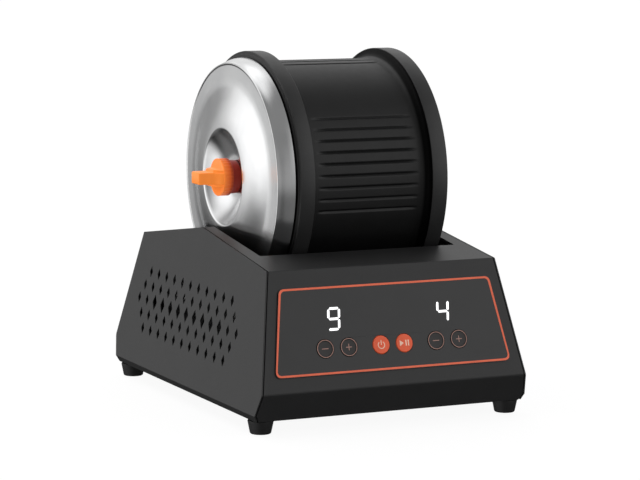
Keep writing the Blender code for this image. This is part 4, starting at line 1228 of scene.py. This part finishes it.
class Sky(Nodes):
    """The studio's surroundings, as brightness against direction."""

    def __init__(self):
        self.world = bpy.data.worlds.new("studio")
        self.world.use_nodes = True
        super().__init__(self.world.node_tree)
        self.direction = self.node("TexCoord").outputs["Generated"]

    def add(self, one, two):
        return self.maths("Math", "ADD", one, two)["Value"]

    def lobe(self, towards, wide, narrow, strength):
        """A soft patch of light: nothing beyond the wide angle, full within the narrow one, in degrees."""
        middle = Vector(towards).normalized()
        along = self.maths("VectorMath", "DOT_PRODUCT", self.direction, middle)["Value"]
        edge, full = math.cos(math.radians(wide)), math.cos(math.radians(narrow))
        return self.spread(along, 0.0, strength, edge, full, smooth=True)

    def finish(self, brightness):
        """Sets the brightness for all light that falls on the object; the camera itself sees white."""
        white = (1, 1, 1, 1)
        lit = self.tree.nodes["Background"]
        self.feed(lit.inputs["Color"], white)
        self.feed(lit.inputs["Strength"], brightness)
        seen = self.node("Background", Color=white)
        seen_by_camera = self.node("LightPath").outputs["Is Camera Ray"]
        mix = self.node("MixShader", Fac=seen_by_camera)
        self.feed(mix.inputs[1], lit.outputs["Background"])
        self.feed(mix.inputs[2], seen.outputs["Background"])
        self.feed(self.tree.nodes["World Output"].inputs["Surface"], mix.outputs["Shader"])
        bpy.context.scene.world = self.world


EVEN_LIGHT = 0.25
LEAST_LIGHT = 0.02
SKY_PATCHES = (  # towards, wide angle, narrow angle, strength
    ((-0.94, 0.25, -0.25), 24, 8, 0.5),  # left, for the lid's bowl
    ((-0.85, -0.15, -0.5), 36, 14, 0.9),  # low on the left, for the lower edges
    ((0.38, 0.72, 0.58), 46, 10, 0.65),  # behind, for the top of the barrel
    ((0.2, -0.93, -0.3), 60, 10, 0.15),  # low in front, for the undercut band
    ((-0.5, 0.75, -0.42), 24, 8, 0.15),  # low behind, for the top of the lid's bowl
    ((-0.25, 0.4, 0.88), 34, 4, 1.0),  # overhead, for the lid's shoulder
)


def world():
    """Bright at the rear left and the front right, even elsewhere, dark below, and then the patches."""
    sky = Sky()
    axes = sky.axes(sky.direction)
    above_floor = sky.spread(axes["Z"], 0.0, 1.0, -0.29, -0.04, smooth=True)
    rear = sky.spread(axes["Y"], 0.0, 0.06, 0.1, 0.8, smooth=True)
    front = sky.lobe((0.72, -0.62, 0.35), 43, 12, 1.05)
    rear_left = sky.lobe((-0.84, 0.54, 0.08), 42, 14, 1.15)
    even = sky.add(sky.add(front, rear), EVEN_LIGHT)
    total = sky.maths("Math", "MULTIPLY", sky.add(even, rear_left), above_floor)["Value"]
    for patch in SKY_PATCHES:
        total = sky.add(total, sky.lobe(*patch))
    sky.finish(sky.add(total, LEAST_LIGHT))


def studio():
    camera()
    floor()
    world()
    top_light()
    bpy.context.scene.view_settings.view_transform = "Standard"


# ---------------------------------------------------------------- the whole scene


def build():
    finish_cad_nodes()
    top_cover()
    side_panel("left_side_panel", -1)
    side_panel("right_side_panel", 1)
    seam_flanges()
    feet()
    fascia()
    digit("days_digit", (DAYS_DIGIT_U, DIGIT_S), "abcdfg")
    digit("speed_digit", (SPEED_DIGIT_U, DIGIT_S), "bcfg")
    keys()
    barrel()
    gasket()
    inner_lid()
    lid_stud()
    outer_lid()
    knob()
    knob_washer()
    studio()


build()
